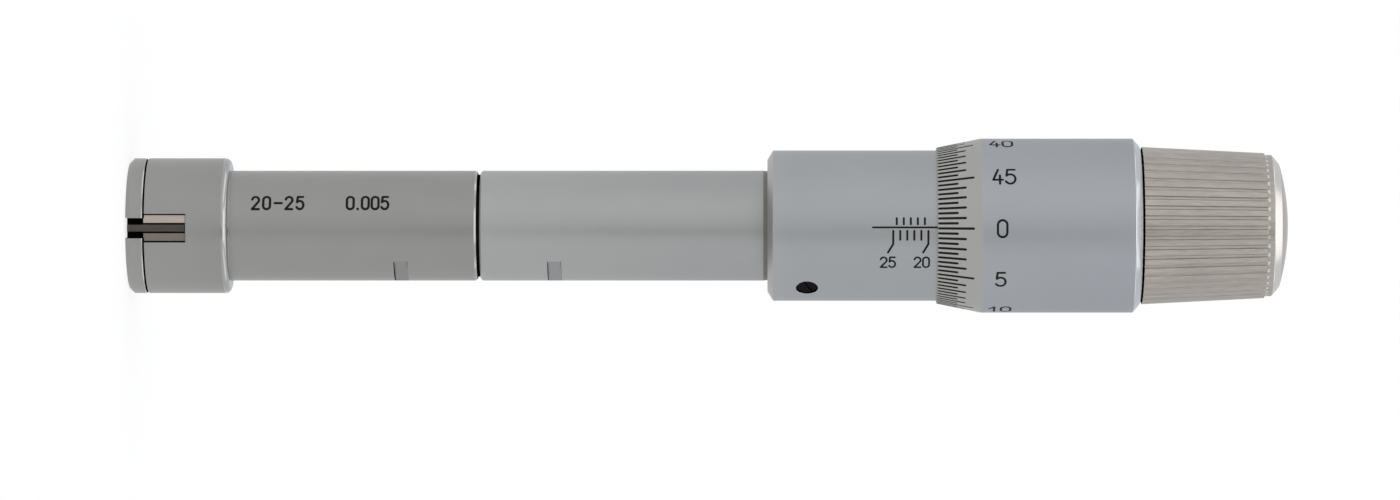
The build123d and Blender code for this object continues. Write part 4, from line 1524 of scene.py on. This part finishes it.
@dataclass(frozen=True)
class RatchetKnob:
    """Fluted knob of the ratchet, with the domed cap in its back."""

    start: float = 145.32
    base: float = 11.3
    crest: float = 10.42
    grip_end: float = 162.85
    land: float = 10.15
    land_end: float = 163.93
    end: float = 165.0
    rim: float = 8.9
    flutes: int = 48
    flute_depth: float = 0.21
    flute_turn: float = 1.85
    flute_half: float = 0.28
    run_out: tuple[float, float] = (162.94, 163.2)
    cavity: float = 7.5
    web: tuple[float, float] = (159.0, 161.0)
    hole: float = 2.53
    cap_bore: float = 7.2
    cap_seat: float = 164.7
    cap_rise: float = 1.25
    cap_step: float = 0.02
    cap_gap: float = 0.02
    cap_inset: float = 0.1
    cap_skirt: tuple[float, float] = (1.0, 1.6)

    def rows(self) -> np.ndarray:
        """Outline of the outside: grip, a small step down to the land, and a cone to the back.

        Returns:
            Rows of (radius, height), in mm.
        """
        grip = softened(
            [
                (self.cavity, self.start),
                (self.base, self.start, 0.04),
                (self.crest, self.grip_end, 0.05),
                (self.land, self.grip_end + 0.1),
                (self.land, self.grip_end + 0.3),
            ]
        )[:-1]
        land = np.stack([np.full(7, self.land), np.linspace(*self.run_out, 7)], axis=1)
        back = softened(
            [
                (self.land, self.land_end - 0.3),
                (self.land, self.land_end, 0.3),
                (self.rim, self.end, 0.12),
                (self.rim - 0.2, self.end),
            ]
        )
        return np.concatenate([grip, land, back[1:-1]])

    def build(self) -> None:
        """The knob. At a distance d from a flute's middle the radius is less by depth (1 - |d / w|^4).

        Along the run-out, over a share s, the depth falls to nothing as 1 - s.
        """
        outline = self.rows()
        pitch = 2 * math.pi / self.flutes
        half = self.flute_half / self.crest
        inside = half * np.sin(np.linspace(-math.pi / 2, math.pi / 2, 9))
        between = np.linspace(half * 1.1, pitch - half * 1.1, 5)
        sector = np.concatenate([inside, between])
        in_flute = np.tile(np.arange(len(sector)) < len(inside) - 1, self.flutes)
        azimuths = (even_azimuths(self.flutes, self.flute_turn)[:, None] + sector[None]).ravel()
        share = np.tile(np.concatenate([np.abs(inside) / half, np.ones(len(between))]), self.flutes)
        profile = 1 - share**4
        height = outline[:, 1]
        crest_line = self.base + (self.crest - self.base) * (height - self.start) / (self.grip_end - self.start)
        past = np.clip((height - self.run_out[0]) / (self.run_out[1] - self.run_out[0]), 0, 1)
        depth = np.clip(outline[:, 0] - crest_line + self.flute_depth, 0, None) * (1 - past)
        depth[0] = 0.0
        radii = outline[:, :1] - depth[:, None] * profile[None]
        coat = np.zeros((len(outline) - 1, len(azimuths)), int)
        mean = (height[1:] + height[:-1]) / 2
        in_run_out = (mean > self.run_out[0]) & (mean < self.run_out[1])
        # Coat 3 paints a glint where each flute runs out; coat 1 paints a highlight on the polished back chamfer;
        # coat 2 is the dark joint on the front face.
        coat[in_run_out[:, None] & in_flute] = 3
        coat[mean > self.land_end - 0.06] = 1
        coat[0] = 2
        shell = Shell("ratchet_knob_looks")
        shell.add(ring_points(radii, azimuths[None], outline[:, 1:]), wrap=True, coat=coat)
        steps = [(self.cap_bore, self.web[1]), (self.hole, self.web[0]), (self.cavity, self.start)]
        seat = [tuple(outline[-1]), (self.rim - self.cap_gap, self.cap_seat)]
        inner = np.array(seat + stepped(steps, self.cap_seat))
        # Coat 2 on the inside and the end cap's seat: the dark joint round the cap.
        shell.add(turned(inner, azimuths), wrap=True, coat=2)
        shell.make("knob_body", "stainless", [KNOB_STEEL, KNOB_EDGE_PAINTED_HIGHLIGHT, JOINT_DARK_AND_PAINTED_SHADE, FLUTE_END_PAINTED_GLINT], "ratchet_knob")

    def end_cap(self) -> None:
        """Domed cap: a sphere's cap of rise h over a rim of radius a has the radius (a^2 + h^2) / (2 h)."""
        rim = self.rim - self.cap_inset
        dome = (rim**2 + self.cap_rise**2) / (2 * self.cap_rise)
        angle = np.linspace(0.0, math.asin((rim - 0.04) / dome), 24)
        top = self.end + self.cap_step + self.cap_rise
        cap = np.stack([dome * np.sin(angle), top - dome + dome * np.cos(angle)], axis=1)
        seat, skirt = self.cap_seat + self.cap_gap, self.cap_bore - self.cap_gap
        wall, depth = self.cap_skirt
        foot = self.end + self.cap_step - 0.01
        back = stepped([(rim, seat), (skirt, seat - depth), (skirt - wall, seat)], foot) + [(0.0, seat)]
        # Coat 1 is the dark joint on the cap's rim wall and back.
        coat = np.repeat([0, 1], [len(cap), len(back) - 1])
        shell = Shell("end_cap_looks")
        shell.add(turned(np.concatenate([cap, np.array(back)]), even_azimuths(240)), wrap=True, coat=coat)
        shell.make("knob_body", "stainless", [CAP_STEEL, JOINT_DARK_AND_PAINTED_SHADE], "end_cap")


# ---------------------------------------------------------------- studio


@dataclass(frozen=True)
class Lamp:
    """A large soft lamp that faces the instrument's middle."""

    name: str
    azimuth: float
    rise: float
    size: tuple[float, float]
    radiance: float
    colour: tuple[float, float, float] = (1.0, 1.0, 1.0)

    def hang(self, middle: Vector, reach: float) -> None:
        """Put the lamp up. Its power is radiance x area x pi, so that a radiance of 1 is a white face.

        Args:
            middle: What it faces, in metres.
            reach: How far from there it hangs, in metres.
        """
        data = bpy.data.lights.new(self.name, "AREA")
        data.shape = "RECTANGLE"
        data.size, data.size_y = self.size
        data.energy = self.radiance * self.size[0] * self.size[1] * math.pi
        data.color = self.colour
        lamp = bpy.data.objects.new(self.name, data)
        turn, tilt = math.radians(self.azimuth), math.radians(self.rise)
        way = Vector((math.cos(tilt) * math.sin(turn), -math.cos(tilt) * math.cos(turn), math.sin(tilt)))
        lamp.location = middle + reach * way
        lamp.rotation_euler = (middle - lamp.location).to_track_quat("-Z", "Y").to_euler()
        bpy.context.scene.collection.objects.link(lamp)


LAMPS = (
    Lamp("key", -36.0, 6.0, (0.55, 1.6), 0.11, (1.0, 1.0, 0.8)),
    Lamp("side", -60.0, 6.0, (0.6, 1.6), 0.045, (1.0, 0.98, 0.8)),
    Lamp("front", 10.0, 6.0, (0.5, 1.6), 0.08, (0.9, 1.0, 0.85)),
    Lamp("high", 0.0, 46.0, (1.2, 0.5), 1.2),
    Lamp("high_left", -84.0, 38.0, (1.7, 0.5), 0.7),
    Lamp("high_right", 84.0, 38.0, (1.7, 0.5), 0.6),
    Lamp("overhead", 0.0, 88.0, (1.1, 1.3), 0.75),
)


def bare_sheet(owner: bpy.types.ID) -> Sheet:
    """An empty sheet in the nodes of a material or of the world."""
    owner.use_nodes = True
    owner.node_tree.nodes.clear()
    return Sheet(owner.node_tree)


@dataclass(frozen=True)
class Studio:
    """Camera at the photograph's angle, soft lamps, a pale floor and a white surround."""

    picture_width: float = 201.28
    distance: float = 1015.0
    stand: float = 92.7
    aim: tuple[float, float] = (3.52, 81.9)
    sensor: float = 36.0
    clip: tuple[float, float] = (0.05, 20.0)
    middle: float = 0.083
    reach: float = 1.3
    world: float = 0.8
    tint: tuple[float, float, float] = (0.985, 1.0, 1.02)
    floor_rings: tuple[float, ...] = (0.0, 300.0, 1500.0, 6000.0)
    floor_height: float = -0.05
    floor_colour: tuple[float, float, float] = (0.93, 0.93, 0.93)
    floor_fade: tuple[float, float] = (0.03, 0.13)
    floor_show: float = 0.8
    card_distance: float = 1.25
    card_azimuth: float = 12.0
    card_half: float = 8.5
    card_reach: float = 0.32
    card_light: float = 0.26

    def camera(self) -> None:
        """Camera that looks along +Y with +Z on the right and -X above."""
        data = bpy.data.cameras.new("photo_camera")
        data.sensor_width = self.sensor
        data.lens = self.sensor * self.distance / self.picture_width
        data.clip_start, data.clip_end = self.clip
        place = Vector((self.aim[0], -self.distance, self.stand)) * MM
        target = Vector((self.aim[0], 0.0, self.aim[1])) * MM
        back = (place - target).normalized()
        right = Vector((-1.0, 0.0, 0.0)).cross(back).normalized()
        up = back.cross(right)
        camera = bpy.data.objects.new("photo_camera", data)
        camera.matrix_world = Matrix((right, up, back)).transposed().to_4x4()
        camera.matrix_world.translation = place
        bpy.context.scene.collection.objects.link(camera)
        bpy.context.scene.camera = camera

    def shown_white(
        self, sheet: Sheet, plain: bpy.types.NodeSocket, share: bpy.types.NodeSocket
    ) -> bpy.types.NodeSocket:
        """Mix a shader with plain white where the camera, a reflection or glass sees it.

        Args:
            sheet: The tree's sheet.
            plain: The shader that lights the instrument or takes its shadow.
            share: How much white is shown.

        Returns:
            The mixed shader.
        """
        path = sheet.node("ShaderNodeLightPath").outputs
        mirrored = sheet.math("MAXIMUM", path["Is Glossy Ray"], path["Is Transmission Ray"])
        seen = sheet.math("MAXIMUM", path["Is Camera Ray"], mirrored)
        white = sheet.node("ShaderNodeEmission", {"Color": (1, 1, 1, 1), "Strength": 1.0})
        factor = sheet.math("MULTIPLY", seen, share)
        return sheet.node("ShaderNodeMixShader", {0: factor, 1: plain, 2: white.outputs[0]}).outputs[0]

    def _piece(
        self, name: str, points: np.ndarray, faces: np.ndarray, material: bpy.types.Material
    ) -> bpy.types.Object:
        """Make one of the studio's own pieces.

        Args:
            name: Its name.
            points: Its points in metres.
            faces: Corner numbers of its faces, four to a face.
            material: Its material.

        Returns:
            The piece, in the scene.
        """
        mesh = bpy.data.meshes.new(name)
        mesh.from_pydata(points.reshape(-1, 3).tolist(), [], faces.reshape(-1, 4).tolist())
        mesh.materials.append(material)
        piece = bpy.data.objects.new(name, mesh)
        bpy.context.scene.collection.objects.link(piece)
        return piece

    def floor(self) -> None:
        """Round pale floor under the instrument that keeps its shadow: a disc of rings about the axis."""
        material = bpy.data.materials.new("studio floor")
        sheet = bare_sheet(material)
        pale = sheet.node("ShaderNodeBsdfDiffuse", {"Color": (*self.floor_colour, 1.0)})
        place = sheet.node("ShaderNodeTexCoord").outputs["Object"]
        away = sheet.node("ShaderNodeVectorMath", {0: place}, operation="LENGTH").outputs["Value"]
        near, far = self.floor_fade
        limits = {0: away, 1: near, 2: far, 3: self.floor_show, 4: 1.0}
        fade = sheet.node("ShaderNodeMapRange", limits, interpolation_type="SMOOTHSTEP")
        white = self.shown_white(sheet, pale.outputs[0], fade.outputs[0])
        sheet.join(sheet.node("ShaderNodeOutputMaterial"), {0: white})
        rings = np.array([(radius, self.floor_height) for radius in self.floor_rings])
        points = turned(rings, even_azimuths(96)) * MM
        floor = self._piece("studio_floor", points, grid_cells(*points.shape[:2], True), material)

    def card(self) -> None:
        """Dark card beside the camera that only reflections see, for the dim line along the instrument's middle."""
        material = bpy.data.materials.new("studio card")
        sheet = bare_sheet(material)
        dark = sheet.node("ShaderNodeEmission", {"Color": (1, 1, 1, 1), "Strength": self.card_light})
        clear = sheet.node("ShaderNodeBsdfTransparent")
        seen = sheet.node("ShaderNodeLightPath").outputs["Is Camera Ray"]
        mixed = sheet.node("ShaderNodeMixShader", {0: seen, 1: dark.outputs[0], 2: clear.outputs[0]})
        sheet.join(sheet.node("ShaderNodeOutputMaterial"), {0: mixed.outputs[0]})
        azimuths = np.radians(self.card_azimuth + np.array([-1.0, -1.0, 1.0, 1.0]) * self.card_half)
        heights = self.aim[1] * MM + np.array([-1.0, 1.0, 1.0, -1.0]) * self.card_reach
        points = ring_points(self.card_distance, azimuths, heights)
        card = self._piece("studio_card", points, np.arange(4), material)

    def surround(self) -> None:
        """Even white surround, a little dimmer where it lights the instrument than where it is seen."""
        world = bpy.data.worlds.new("studio")
        bpy.context.scene.world = world
        sheet = bare_sheet(world)
        path = sheet.node("ShaderNodeLightPath").outputs["Is Camera Ray"]
        strength = sheet.math("ADD", self.world, sheet.math("MULTIPLY", path, 1.0 - self.world))
        tint = sheet.node("ShaderNodeMix", data_type="RGBA")
        for name, colour in (("A", self.tint), ("B", (1.0, 1.0, 1.0))):
            socket = next(socket for socket in tint.inputs if socket.name == name and socket.type == "RGBA")
            socket.default_value = (*colour, 1.0)
        sheet.join(tint, {"Factor": path})
        mixed = next(socket for socket in tint.outputs if socket.type == "RGBA")
        back = sheet.node("ShaderNodeBackground", {"Color": mixed, "Strength": strength})
        sheet.join(sheet.node("ShaderNodeOutputWorld"), {0: back.outputs[0]})

    def build(self) -> None:
        """Set up the camera, the light and the floor."""
        bpy.context.scene.view_settings.view_transform = "Standard"
        self.camera()
        self.surround()
        self.floor()
        self.card()
        for lamp in LAMPS:
            lamp.hang(Vector((0, 0, self.middle)), self.reach)


def main() -> None:
    """Build the studio, then each sub-assembly in order from the head to the knob."""
    logging.basicConfig(level=logging.INFO, format="%(name)s: %(message)s")
    Studio().build()
    dress_cad_nodes()
    head = MeasuringHead()
    head.body()
    head.front_cap()
    head.engraving()
    for number in (1, 2, 3):
        anvil = Anvil(number, head.first_slot + 120.0 * (number - 1))
        anvil.jaw()
        anvil.strip()
    Barrel().build()
    sleeve = Sleeve()
    sleeve.build()
    sleeve.set_screw()
    sleeve.scale()
    thimble = Thimble()
    thimble.build()
    thimble.scale()
    knob = RatchetKnob()
    knob.build()
    knob.end_cap()


if __name__ == "__main__":
    main()
